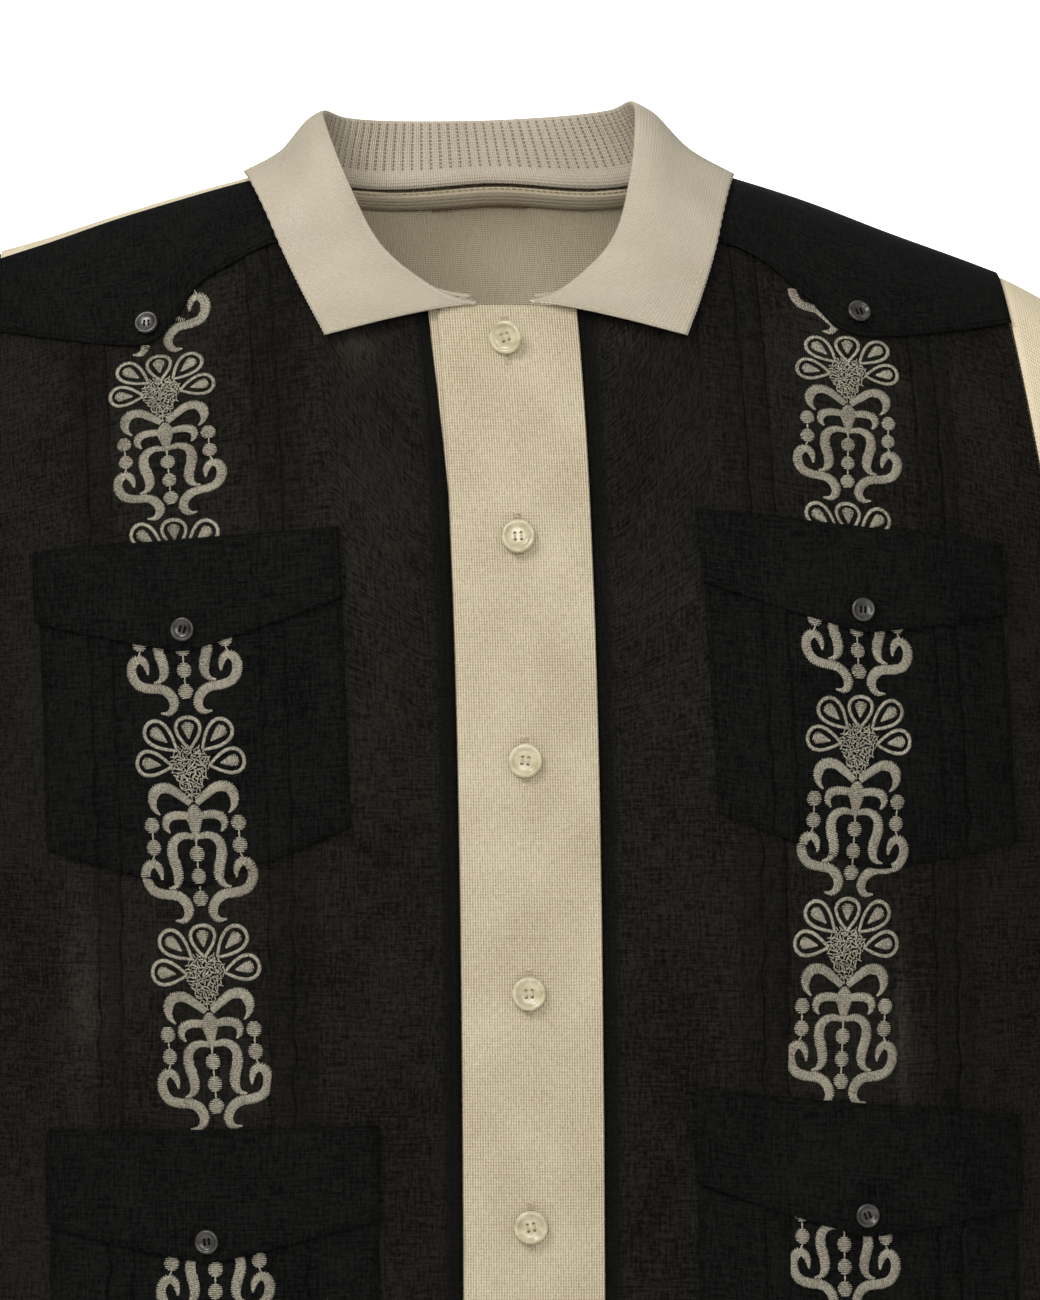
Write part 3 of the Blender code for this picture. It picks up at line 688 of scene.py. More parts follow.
@dataclass(frozen=True)
class Knit:
    """Cream knitted cloth with upright wales.

    Attributes:
        name: The material's name.
        dark: Colour between the wales, standing for painted shade in the grooves.
        light: Colour of the wales.
        wale: Distance between wales.
        course: Distance between rows.
        contrast: How strongly the wales show in the colour, through the painted shade between them.
        hole_from: Start of a band of small holes, as v; none where it equals hole_to.
        hole_to: End of that band.
        hole_pitch: Distance between its columns of holes.
        hole_step: Distance between its rows of holes.
        hole_shade: Painted shade in the holes.
    """

    name: str
    dark: Colour
    light: Colour
    wale: float = 0.00095
    course: float = 0.0011
    contrast: float = 1.0
    hole_from: float = 0.0
    hole_to: float = 0.0
    hole_pitch: float = 0.0035
    hole_step: float = 0.00155
    hole_shade: Colour = (0.20, 0.14, 0.07, 1.0)

    def make(self) -> Any:
        """Builds the material.

        Returns:
            The Blender material.
        """
        bench = Bench(self.name)
        vector, u, v = bench.cloth_place()
        stray = bench.noise(vector, (0.004, 0.02, 1.0), 2.0)
        wales = (u * (FULL_TURN / self.wale) + stray * 2.0).sine()
        courses = (v * (FULL_TURN / self.course) + stray * 1.5).sine()
        yarn = bench.noise(vector, (0.0010, 0.0022, 1.0), 3.0)
        cloud = bench.noise(vector, (0.03, 0.04, 1.0), 2.0)
        height = wales * 0.55 + courses * 0.28 + wales * courses * 0.22 + (yarn - 0.5) * 1.1
        # The colour follows the knit's relief: painted shade darkens the grooves between wales and rows, and
        # the yarn and cloud noise add the yarn's own uneven tone.
        share = height * (0.42 * self.contrast) + 0.55 + (cloud - 0.5) * 0.5
        colour = bench.mix(share.step(0.0, 1.0), self.dark, self.light)
        if self.hole_to > self.hole_from:
            opens = v.step(self.hole_from, self.hole_from + HOLE_FADE)
            band = opens * (1 - v.step(self.hole_to - HOLE_FADE, self.hole_to))
            column = (u * (math.pi / self.hole_pitch)).sine().absolute()
            row = (v * (math.pi / self.hole_step)).sine().absolute()
            groove = 1 - column.step(0.15, 0.65)
            hole = (1 - column.step(0.22, 0.42)) * (1 - row.step(0.50, 0.85))
            # Painted shade: the grooves between the hole columns are darkened and the holes get a dark brown
            # colour.
            colour = bench.mix(groove * band * 0.30, colour, self.dark)
            colour = bench.mix(hole * band * 0.75, colour, self.hole_shade)
            height = height - (groove * 1.2 + hole * 2.0) * band
        bench.set(Base_Color=colour, Roughness=0.9, Specular_IOR_Level=0.2)
        bench.bump(height, 0.7, 0.0004)
        return bench.material


@dataclass(frozen=True)
class Yarn:
    """Sewing or embroidery thread.

    Attributes:
        name: The material's name.
        dark: Its darker colour.
        light: Its lighter colour.
        roughness: How dull it is.
        shine: How much it mirrors.
    """

    name: str
    dark: Colour
    light: Colour
    roughness: float = 0.55
    shine: float = 0.35

    def make(self) -> Any:
        """Builds the material.

        Returns:
            The Blender material.
        """
        bench = Bench(self.name)
        place = bench.object_place()
        strand = bench.noise(place, (0.0006, 0.0006, 0.0006), 2.0)
        cloud = bench.noise(place, (0.012, 0.012, 0.012), 1.0)
        share = (strand - 0.5) * 2.6 + 0.5 + (cloud - 0.5) * 0.6
        bench.set(Base_Color=bench.mix(share.step(0.0, 1.0), self.dark, self.light),
                  Roughness=self.roughness, Specular_IOR_Level=self.shine)
        return bench.material


@dataclass(frozen=True)
class ButtonStuff:
    """Turned button material with a soft cloudy figure.

    Attributes:
        name: The material's name.
        dark: Its darker colour.
        light: Its lighter colour.
        roughness: How dull it is.
        glow: Weight of the light that passes under its skin.
    """

    name: str
    dark: Colour
    light: Colour
    roughness: float
    glow: float

    def make(self) -> Any:
        """Builds the material.

        Returns:
            The Blender material.
        """
        bench = Bench(self.name)
        place = bench.object_place()
        cloud = bench.noise(place, (0.006, 0.006, 0.0035), 3.0)
        bench.set(Base_Color=bench.mix(cloud.step(0.30, 0.70), self.dark, self.light),
                  Roughness=self.roughness, Coat_Weight=0.35, Coat_Roughness=0.12,
                  Subsurface_Weight=self.glow)
        bench.shader.inputs["Subsurface Radius"].default_value = (0.002, 0.0015, 0.001)
        return bench.material


@dataclass(frozen=True)
class Plain:
    """An even finish.

    Attributes:
        name: The material's name.
        colour: Its colour.
        roughness: How dull it is.
    """

    name: str
    colour: Colour
    roughness: float = 0.9

    def make(self) -> Any:
        """Builds the material.

        Returns:
            The Blender material.
        """
        bench = Bench(self.name)
        bench.set(Base_Color=self.colour, Roughness=self.roughness)
        return bench.material


@dataclass
class Wardrobe:
    """All finishes of the shirt, made once."""

    single: Any = None
    doubled: Any = None
    placket: Any = None
    jersey: Any = None
    collar: Any = None
    tape: Any = None
    satin: Any = None
    shaded_padding: Any = None
    black_thread: Any = None
    cream_thread: Any = None
    brown_thread: Any = None
    ivory: Any = None
    horn: Any = None

    def fill(self) -> "Wardrobe":
        """Makes every finish.

        Returns:
            The wardrobe itself.
        """
        self.single = SheerBlack("sheer_black_single", (0.0025, 0.0022, 0.0016, 1),
                                 (0.0155, 0.0142, 0.0108, 1)).make()
        self.doubled = SheerBlack("sheer_black_doubled", (0.0010, 0.0011, 0.0010, 1),
                                  (0.0082, 0.0082, 0.0074, 1)).make()
        self.placket = Knit("ladder_knit", (0.31, 0.245, 0.145, 1), (0.72, 0.63, 0.455, 1), 0.00095,
                            0.00115, 1.15).make()
        self.jersey = Knit("cream_jersey", (0.60, 0.50, 0.32, 1), (0.86, 0.75, 0.54, 1), 0.0011, 0.0009,
                           0.6).make()
        self.collar = Knit("collar_knit", (0.37, 0.318, 0.228, 1), (0.63, 0.56, 0.44, 1), 0.00085, 0.0011,
                           0.8, 0.0065, 0.0262).make()
        self.tape = Knit("tape_knit", (0.46, 0.38, 0.25, 1), (0.66, 0.57, 0.41, 1), 0.0006, 0.0012,
                         0.6).make()
        self.satin = Yarn("satin_thread", (0.14, 0.125, 0.09, 1), (0.46, 0.42, 0.325, 1)).make()
        # Dark padding thread: painted shade that shows between the satin threads.
        self.shaded_padding = Yarn("padding_shade_thread", (0.05, 0.044, 0.030, 1), (0.12, 0.11, 0.08, 1)).make()
        self.black_thread = Yarn("black_thread", (0.0012, 0.0012, 0.0012, 1), (0.006, 0.006, 0.005, 1), 0.8,
                                 0.05).make()
        self.cream_thread = Yarn("cream_thread", (0.42, 0.35, 0.22, 1), (0.66, 0.57, 0.40, 1)).make()
        self.brown_thread = Yarn("brown_thread", (0.060, 0.036, 0.018, 1), (0.12, 0.075, 0.04, 1)).make()
        self.ivory = ButtonStuff("ivory_button", (0.40, 0.345, 0.205, 1), (0.60, 0.54, 0.365, 1), 0.22,
                                 0.10).make()
        self.horn = ButtonStuff("dark_button", (0.008, 0.007, 0.006, 1), (0.042, 0.036, 0.030, 1), 0.30,
                                0.0).make()
        return self


def link(piece: Any) -> Any:
    """Puts an object in the scene's collection and gives it back."""
    bpy.context.scene.collection.objects.link(piece)
    return piece


def sheet_of(name: str, points: Array, flat: Array, wall: float, finish: Any, closed: bool = False) -> Any:
    """Makes a cloth wall over a grid of points.

    Args:
        name: The piece's name.
        points: Grid of points, rows by columns.
        flat: Grid of the flat cloth's places in metres.
        wall: The cloth's thickness.
        finish: Its material.
        closed: Whether the last column joins the first.

    Returns:
        The piece.
    """
    rows, columns = points.shape[:2]
    index = np.arange(rows * columns).reshape(rows, columns)
    right = np.roll(index, -1, axis=1) if closed else index[:, 1:]
    left = index if closed else index[:, :-1]
    quads = np.stack([left[:-1], right[:-1], right[1:], left[1:]], axis=-1).reshape(-1, 4)
    mesh = bpy.data.meshes.new(name)
    mesh.from_pydata(points.reshape(-1, 3).tolist(), [], quads.tolist())
    layer = mesh.uv_layers.new(name="flat")
    places = flat.reshape(-1, 2)[quads.ravel()]
    if closed:
        last = np.zeros(quads.shape[0] // (rows - 1), dtype=bool)
        last[-1] = True
        around = np.tile(last, rows - 1)
        places = places.reshape(-1, 4, 2)
        width = flat[0, -1, 0] + (flat[0, 1, 0] - flat[0, 0, 0])
        places[around, 1, 0] = width
        places[around, 2, 0] = width
        places = places.reshape(-1, 2)
    layer.data.foreach_set("uv", places.ravel())
    mesh.materials.append(finish)
    mesh.shade_smooth()
    piece = link(bpy.data.objects.new(name, mesh))
    solidify = piece.modifiers.new("wall", "SOLIDIFY")
    solidify.thickness = wall
    solidify.offset = 0
    return piece


def applied(piece: Any) -> Any:
    """Turns a piece and its modifiers into a plain mesh.

    Args:
        piece: The piece.

    Returns:
        The same piece with its modifiers applied.
    """
    seen = piece.evaluated_get(bpy.context.evaluated_depsgraph_get())
    mesh = bpy.data.meshes.new_from_object(seen)
    old = piece.data
    piece.modifiers.clear()
    piece.data = mesh
    mesh.name = piece.name
    bpy.data.meshes.remove(old)
    return piece


class NodeShop:
    """Geometry node trees for thread and stitches."""

    def __init__(self) -> None:
        """Builds both trees."""
        self.thread_tree = self.make_thread_tree()
        self.stitch_tree = self.make_stitch_tree()

    @staticmethod
    def start(name: str, inputs: Sequence[tuple[str, str, Any]]) -> tuple[Any, Any, Any]:
        """Starts a tree with named inputs.

        Args:
            name: The tree's name.
            inputs: Each input's name, socket type and default.

        Returns:
            The tree, its input node and its output node.
        """
        tree = bpy.data.node_groups.new(name, "GeometryNodeTree")
        tree.interface.new_socket("Geometry", in_out="INPUT", socket_type="NodeSocketGeometry")
        for label, kind, default in inputs:
            socket = tree.interface.new_socket(label, in_out="INPUT", socket_type=kind)
            if default is not None:
                socket.default_value = default
        tree.interface.new_socket("Geometry", in_out="OUTPUT", socket_type="NodeSocketGeometry")
        return tree, tree.nodes.new("NodeGroupInput"), tree.nodes.new("NodeGroupOutput")

    @staticmethod
    def finish(tree: Any, geometry: Any, source: Any, output: Any) -> None:
        """Ends a tree in Realize Instances and Set Material."""
        realize = tree.nodes.new("GeometryNodeRealizeInstances")
        paint = tree.nodes.new("GeometryNodeSetMaterial")
        tree.links.new(geometry, realize.inputs[0])
        tree.links.new(realize.outputs[0], paint.inputs["Geometry"])
        tree.links.new(source.outputs["Finish"], paint.inputs["Material"])
        tree.links.new(paint.outputs[0], output.inputs[0])

    def make_thread_tree(self) -> Any:
        """Builds the tree that gives each row of edges a round thread.

        Returns:
            The tree.
        """
        tree, source, output = self.start("thread", (
            ("Radius", "NodeSocketFloat", 0.00025), ("Sides", "NodeSocketInt", 4),
            ("Finish", "NodeSocketMaterial", None)))
        curve = tree.nodes.new("GeometryNodeMeshToCurve")
        ring = tree.nodes.new("GeometryNodeCurvePrimitiveCircle")
        tube = tree.nodes.new("GeometryNodeCurveToMesh")
        tube.inputs["Fill Caps"].default_value = True
        smooth = tree.nodes.new("GeometryNodeSetShadeSmooth")
        tree.links.new(source.outputs["Geometry"], curve.inputs["Mesh"])
        tree.links.new(source.outputs["Radius"], ring.inputs["Radius"])
        tree.links.new(source.outputs["Sides"], ring.inputs["Resolution"])
        tree.links.new(curve.outputs[0], tube.inputs["Curve"])
        tree.links.new(ring.outputs[0], tube.inputs["Profile Curve"])
        tree.links.new(tube.outputs[0], smooth.inputs[0])
        self.finish(tree, smooth.outputs[0], source, output)
        return tree

    def make_stitch_tree(self) -> Any:
        """Builds the tree that lays a stitch at even steps along each row of edges.

        Returns:
            The tree.
        """
        tree, source, output = self.start("stitches", (
            ("Step", "NodeSocketFloat", 0.0025), ("Length", "NodeSocketFloat", 0.0020),
            ("Radius", "NodeSocketFloat", 0.00025), ("Finish", "NodeSocketMaterial", None)))
        curve = tree.nodes.new("GeometryNodeMeshToCurve")
        resample = tree.nodes.new("GeometryNodeResampleCurve")
        resample.mode = "LENGTH"
        stitch = tree.nodes.new("GeometryNodeMeshUVSphere")
        stitch.inputs["Segments"].default_value = 6
        stitch.inputs["Rings"].default_value = 4
        stitch.inputs["Radius"].default_value = 1.0
        halve = tree.nodes.new("ShaderNodeMath")
        halve.operation = "MULTIPLY"
        halve.inputs[1].default_value = 0.5
        size = tree.nodes.new("ShaderNodeCombineXYZ")
        tangent = tree.nodes.new("GeometryNodeInputTangent")
        turn = tree.nodes.new("FunctionNodeAlignRotationToVector")
        turn.axis = "Z"
        lay = tree.nodes.new("GeometryNodeInstanceOnPoints")
        smooth = tree.nodes.new("GeometryNodeSetShadeSmooth")
        tree.links.new(source.outputs["Geometry"], curve.inputs["Mesh"])
        tree.links.new(curve.outputs[0], resample.inputs["Curve"])
        tree.links.new(source.outputs["Step"], resample.inputs["Length"])
        tree.links.new(source.outputs["Length"], halve.inputs[0])
        tree.links.new(source.outputs["Radius"], size.inputs["X"])
        tree.links.new(source.outputs["Radius"], size.inputs["Y"])
        tree.links.new(halve.outputs[0], size.inputs["Z"])
        tree.links.new(tangent.outputs[0], turn.inputs["Vector"])
        tree.links.new(resample.outputs[0], lay.inputs["Points"])
        tree.links.new(stitch.outputs["Mesh"], lay.inputs["Instance"])
        tree.links.new(turn.outputs[0], lay.inputs["Rotation"])
        tree.links.new(size.outputs[0], lay.inputs["Scale"])
        tree.links.new(lay.outputs[0], smooth.inputs[0])
        self.finish(tree, smooth.outputs[0], source, output)
        return tree

    @staticmethod
    def rows_mesh(name: str, rows: Sequence[Array]) -> Any:
        """Makes a mesh of separate rows of edges.

        Args:
            name: The mesh's name.
            rows: One array of points for each row.

        Returns:
            The mesh.
        """
        points = np.concatenate([np.asarray(row) for row in rows])
        edges: list[tuple[int, int]] = []
        start = 0
        for row in rows:
            edges.extend((k, k + 1) for k in range(start, start + len(row) - 1))
            start += len(row)
        mesh = bpy.data.meshes.new(name)
        mesh.from_pydata(points.tolist(), edges, [])
        return mesh

    def run(self, name: str, rows: Sequence[Array], tree: Any, values: dict[str, Any]) -> Any:
        """Runs a tree over rows of points.

        Args:
            name: The piece's name.
            rows: One array of points for each row.
            tree: The tree.
            values: The tree's inputs by name.

        Returns:
            A plain mesh piece.
        """
        piece = link(bpy.data.objects.new(name, self.rows_mesh(name, rows)))
        modifier = piece.modifiers.new("nodes", "NODES")
        modifier.node_group = tree
        for item in tree.interface.items_tree:
            if item.item_type == "SOCKET" and item.in_out == "INPUT" and item.name in values:
                modifier[item.identifier] = values[item.name]
        return applied(piece)

    def threads(self, name: str, rows: Sequence[Array], radius: float, finish: Any, sides: int = 4) -> Any:
        """Makes round threads along rows of points."""
        return self.run(name, rows, self.thread_tree, {"Radius": radius, "Sides": sides, "Finish": finish})

    def stitches(self, name: str, rows: Sequence[Array], step: float, length: float, radius: float,
                 finish: Any) -> Any:
        """Makes single stitches along rows of points."""
        values = {"Step": step, "Length": length, "Radius": radius, "Finish": finish}
        return self.run(name, rows, self.stitch_tree, values)


def merged(name: str, pieces: Sequence[Any]) -> Any:
    """Joins pieces into one.

    Args:
        name: The joined piece's name.
        pieces: The pieces, of which the first is kept.

    Returns:
        The joined piece.
    """
    form = bmesh.new()
    finishes: list[Any] = []
    for piece in pieces:
        start = len(form.faces)
        form.from_mesh(piece.data)
        form.faces.ensure_lookup_table()
        material = piece.data.materials[0]
        if material not in finishes:
            finishes.append(material)
        for face in form.faces[start:]:
            face.material_index = finishes.index(material)
    mesh = bpy.data.meshes.new(name)
    form.to_mesh(mesh)
    form.free()
    mesh.materials.clear()
    for material in finishes:
        mesh.materials.append(material)
    for piece in pieces:
        old = piece.data
        bpy.data.objects.remove(piece)
        bpy.data.meshes.remove(old)
    mesh.shade_smooth()
    return link(bpy.data.objects.new(name, mesh))


def dress(piece: Any, replaced: Sequence[str] = ()) -> Any:
    """Lets a piece ride on the shirt and stands it for CAD nodes.

    Args:
        piece: The piece.
        replaced: CAD nodes that it stands for.

    Returns:
        The piece.
    """
    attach(piece, "root")
    if replaced:
        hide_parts(*replaced)
    LOG.info("%s: %d faces", piece.name, len(piece.data.polygons))
    return piece


PLACKET_SEAM = 0.0262
UNDER_SEAM = 0.0254
GAP = 0.0003
BAND_OUT = 0.1245
NECK_COLUMNS = (
    (0.038, 0.0400), (0.045, 0.0540), (0.052, 0.0625), (0.058, 0.0672), (0.064, 0.0702), (0.069, 0.0716),
    (0.0735, 0.0720),
)
TUCK_STEPS = (0.0, 0.0279, 0.0284, 0.0290, 0.0369, 0.0374, 0.0380, 0.0470)
TUCK_RISES = (0.0, 0.0, -0.0002, 0.0009, 0.0002, -0.0001, 0.0009, 0.0)
# Distances from the band's middle where a shadow is painted at each tuck's foot.
TUCK_SHADOW_FEET = (0.0284, 0.0374)
UNDER_PEEK = 0.0034
PEEK_END = 0.13
PEEK_REACH = 0.07
RIPPLE_RISE = 0.00016
RIPPLE_LENGTH = 0.0115
BLACK_WALL = 0.0005
PANEL_TOP = BLACK_WALL / 2


def peek_at(z: Array) -> Array:
    """Gives how far the under strip shows past the top one at height z, near the neck."""
    return UNDER_PEEK * np.clip((z + PEEK_END) / PEEK_REACH, 0, 1)


def seam_ripple(z: Array, side: Side) -> Array:
    """Gives the small ripples that the seam beside the placket draws in the black cloth."""
    return RIPPLE_RISE * np.sin(FULL_TURN * z / RIPPLE_LENGTH + side.value)


def tuck_rise(offset: Array) -> Array:
    """Gives how far the tucks stand out, by the distance from the band's middle."""
    return np.interp(np.abs(offset), TUCK_STEPS, TUCK_RISES)


def tuck_wander(offset: Array, z: Array, side: Side) -> Array:
    """Gives the sideways wander of the tucks' folded edges.

    Args:
        offset: Distance from the band's middle.
        z: Height.
        side: The half of the shirt.

    Returns:
        The sideways move.
    """
    near = np.exp(-((np.abs(offset) - 0.036) / 0.011) ** 2)
    turn = side.value * 1.3 + np.sign(offset) * 0.9
    wave = (np.sin(FULL_TURN * z / 0.0185 + turn + offset * 90)
            + 0.7 * np.sin(FULL_TURN * z / 0.031 - turn * 2.0))
    lower = np.clip((-0.20 - z) / 0.08, 0, 1)
    return (0.00026 + 0.00034 * lower) * wave * near


def painted_tuck_shadow(offset: Array, z: Array) -> Array:
    """Gives how dark the painted shadow at the foot of each tuck is."""
    near = sum(np.isclose(np.abs(offset), foot, atol=1e-5).astype(float) for foot in TUCK_SHADOW_FEET)
    return near * (0.75 + 0.25 * np.sin(z * 61 + offset * 240))


def pucker(offset: Array, z: Array, side: Side) -> Array:
    """Gives small ripples of the cloth along the tucks' stitching."""
    near = np.exp(-((np.abs(offset) - 0.033) / 0.008) ** 2)
    turn = side.value * 0.8 + np.sign(offset) * 1.7
    wave = np.sin(FULL_TURN * z / 0.0125 + turn) * (0.6 + 0.4 * np.sin(FULL_TURN * z / 0.083 + turn))
    return 0.00030 * wave * near


@dataclass(frozen=True)
class Ripple:
    """Slight waves over all of a hanging cloth.

    Attributes:
        rise: Their height.
    """

    rise: float

    def at(self, s: Array, z: Array) -> Array:
        """Gives the waves' rise at s and z."""
        slow = np.sin(s * 41 + z * 13 + 0.6) * np.sin(z * 31 - s * 9 + 1.1)
        quick = np.sin(s * 97 - z * 21 + 2.0) * np.sin(z * 53 + s * 17)
        return self.rise * (slow + 0.45 * quick)


def columns_across(low: float, high: float, step: float, kept: Sequence[float]) -> Array:
    """Gives places from low to high at about even steps that include some set places.

    Args:
        low: The first place.
        high: The last place.
        step: The distance between places.
        kept: Places that are always there.

    Returns:
        The places in order.
    """
    kept_inside = [place for place in kept if low < place < high]
    even = np.linspace(low, high, max(2, round((high - low) / step) + 1))
    gap = step * 0.35
    inner = [place for place in even[1:-1] if all(abs(place - other) > gap for other in kept_inside)]
    return np.array(sorted([low, high, *inner, *kept_inside]))


def panel_grid(form: BodyForm, side: int, places: Array, tops: Array, arm: int, face: Face,
               low: Array, climb: Array) -> tuple[Array, Array]:
    """Gives rows of s and d from the hem up for a panel.

    Args:
        form: The body form.
        side: -1 or 1.
        places: Each column's place down the panel.
        tops: Its place at the top.
        arm: How many more columns spread to the armhole and the side seam.
        face: Front or back.
        low: Heights of the rows under the armpit.
        climb: Shares of the way from the armpit to the top.

    Returns:
        Rows of s and rows of d.
    """
    rest = form.arm_rest
    s = np.concatenate([side * places, np.full(arm, side * rest)])
    s_top = np.concatenate([side * tops, np.full(arm, side * rest)])
    u = np.concatenate([np.zeros(len(places)), (np.arange(arm) + 1) / arm])
    girth = form.quarter_girth - form.seam
    seam = form.seam_forward[side] + (form.seam if face is Face.FRONT else -form.seam)
    neck = form.neck_along(s_top, form.neck_front if face is Face.FRONT else form.neck_back)
    is_neck = np.abs(s_top) < form.neck_half - 1e-6
    if face is Face.FRONT:
        top = np.where(is_neck, np.maximum(neck, seam), seam)
    else:
        corner = np.abs(s_top) > 0.071
        top = np.where(is_neck, np.where(corner, np.maximum(-neck, seam - 0.021), -neck), seam)
    rows_s, rows_d = [], []
    for z in low:
        spread = s + side * u * (girth - rest)
        rows_s.append(spread)
        rows_d.append(form.along_to(spread, z) * face.value)
    for share in climb:
        bow = 1 - math.sqrt(1 - (1 - share) ** 2.2)
        reach = form.shoulder_tip + (girth - form.shoulder_tip) * bow
        spread = s + (s_top - s) * share ** 2 + side * u * (reach - rest)
        at_armpit = form.along_to(spread, form.armpit_z) * face.value
        rows_s.append(spread)
        rows_d.append(at_armpit + (top - at_armpit) * share)
    return np.array(rows_s), np.array(rows_d)


def flat_of(points: Array, s: Array) -> Array:
    """Gives the flat cloth's places for a grid whose rows run from the hem up.

    Args:
        points: The grid's points.
        s: The grid's places across.

    Returns:
        u and v in metres for each point.
    """
    middle = points.shape[1] // 2
    steps = np.linalg.norm(np.diff(points[:, middle], axis=0), axis=1)
    v = np.concatenate([[0.0], np.cumsum(steps)])
    return np.stack([s, np.broadcast_to(v[:, None], s.shape)], axis=-1)


def mark(piece: Any, name: str, values: Array) -> None:
    """Writes one value for each point of a piece.

    Args:
        piece: The piece.
        name: The attribute's name.
        values: One value for each point.
    """
    layer = piece.data.attributes.new(name, "FLOAT", "POINT")
    layer.data.foreach_set("value", np.ascontiguousarray(values, dtype=np.float32).ravel())


@dataclass
class FrontPanel:
    """One black front panel with the tucks beside its embroidered band."""

    form: BodyForm
    side: Side
    finish: Any
    column_step: float = 0.0026
    arm_columns: int = 40
    allowance: float = 0.0068

    def build(self) -> Any:
        """Builds the panel.

        Returns:
            The piece.
        """
        form, side = self.form, self.side
        inner = PLACKET_SEAM + GAP if side is Side.RIGHT else UNDER_SEAM
        kept = [BAND_OUT + way * step for way in (-1, 1) for step in TUCK_STEPS[1:]]
        places = columns_across(inner, form.arm_rest, self.column_step, kept)
        keys = [inner] + [row[0] for row in NECK_COLUMNS] + [0.083, form.arm_rest]
        values = [inner] + [row[1] for row in NECK_COLUMNS] + [0.083, form.arm_rest]
        tops = np.interp(places, keys, values)
        low = np.concatenate([np.arange(form.hem_z, -0.42, 0.006),
                              np.arange(-0.42, form.armpit_z - 0.002, 0.0032)])
        climb = 1 - (1 - np.linspace(0, 1, 78)) ** 1.15
        s, d = panel_grid(form, side.value, places, tops, self.arm_columns, Face.FRONT, low, climb)
        z = form.bare(s, d)[..., 2]
        if side is Side.LEFT:
            s[:, 0] -= peek_at(z[:, 0])
        offset = np.concatenate([places - BAND_OUT, np.full(self.arm_columns, 1.0)])[None, :]
        offset = np.broadcast_to(offset, s.shape)
        seam_near = np.exp(-((np.abs(s) - 0.0300) / 0.004) ** 2)
        rise = tuck_rise(offset) + pucker(offset, z, side)
        rise = rise + seam_near * seam_ripple(z, side)
        rise = rise * np.clip((1 - np.concatenate([np.zeros(len(low)), climb])) / 0.05, 0, 1)[:, None]
        moved = s + side.value * tuck_wander(offset, z, side)
        points = form.cloth(moved, d, rise)
        flat = flat_of(points, s)
        doubled = np.clip((inner + self.allowance - np.abs(s)) / 0.0006, 0, 1)
        doubled = np.maximum(doubled, (np.abs(offset) > 0.0287) * (np.abs(offset) < 0.0465) * 0.45)
        # Painted shadow at the tucks' feet, as a mask for the finish.
        line = painted_tuck_shadow(offset, z)
        if side is Side.RIGHT:
            points, flat, doubled, line, s, z = (grid[:, ::-1]
                                                 for grid in (points, flat, doubled, line, s, z))
        piece = sheet_of(f"front_{side.label}_cloth", points[::-1], flat[::-1], BLACK_WALL,
                         self.finish)
        mark(piece, "doubled", doubled[::-1])
        mark(piece, "line", line[::-1])
        # Painted light: where light from behind is painted as showing through the cloth.
        mark(piece, "sheer", self.sheer(s, z)[::-1])
        return dress(applied(piece), [f"front_{side.label}"])

    def sheer(self, s: Array, z: Array) -> Array:
        """Gives where light showing through the single cloth is painted into its colour.

        Args:
            s: Place across.
            z: Height.

        Returns:
            A share from 0 to 1.
        """
        # Soft spots of painted light: across, height, width, length and weight.
        spots = {
            Side.LEFT: ((-0.0560, -0.0760, 0.007, 0.009, 0.5), (-0.168, -0.320, 0.008, 0.040, 0.5),
                        (-0.060, -0.150, 0.020, 0.050, 0.15)),
            Side.RIGHT: ((0.0440, -0.0730, 0.008, 0.007, 0.4), (0.1395, -0.330, 0.0022, 0.030, 0.7),
                         (0.060, -0.190, 0.020, 0.060, 0.12)),
        }
        share = np.zeros(s.shape)
        for spot_s, spot_z, wide, long, weight in spots[self.side]:
            share = share + weight * np.exp(-((s - spot_s) / wide) ** 2 - ((z - spot_z) / long) ** 2)
        return np.clip(share, 0, 1)


@dataclass
class Back:
    """The back, in one piece from side seam to side seam."""

    form: BodyForm
    finish: Any
    wall: float = 0.0008
    column_step: float = 0.005
    arm_columns: int = 22

    def build(self) -> Any:
        """Builds the back.

        Returns:
            The piece.
        """
        form = self.form
        places = columns_across(0.0, form.arm_rest, self.column_step, [row[0] for row in NECK_COLUMNS])
        keys = [0.0, 0.020] + [row[0] for row in NECK_COLUMNS] + [0.095, form.arm_rest]
        values = [0.0, 0.022] + [row[1] for row in NECK_COLUMNS] + [0.095, form.arm_rest]
        tops = np.interp(places, keys, values)
        low = np.arange(form.hem_z, form.armpit_z - 0.003, 0.006)
        climb = 1 - (1 - np.linspace(0, 1, 60)) ** 1.15
        halves = [panel_grid(form, side, places, tops, self.arm_columns, Face.BACK, low, climb)
                  for side in (-1, 1)]
        s = np.concatenate([halves[0][0][:, :0:-1], halves[1][0]], axis=1)
        d = np.concatenate([halves[0][1][:, :0:-1], halves[1][1]], axis=1)
        points = form.cloth(s, d)
        piece = sheet_of("back_cloth", points, flat_of(points, s), self.wall, self.finish)
        return dress(applied(piece), ["back"])


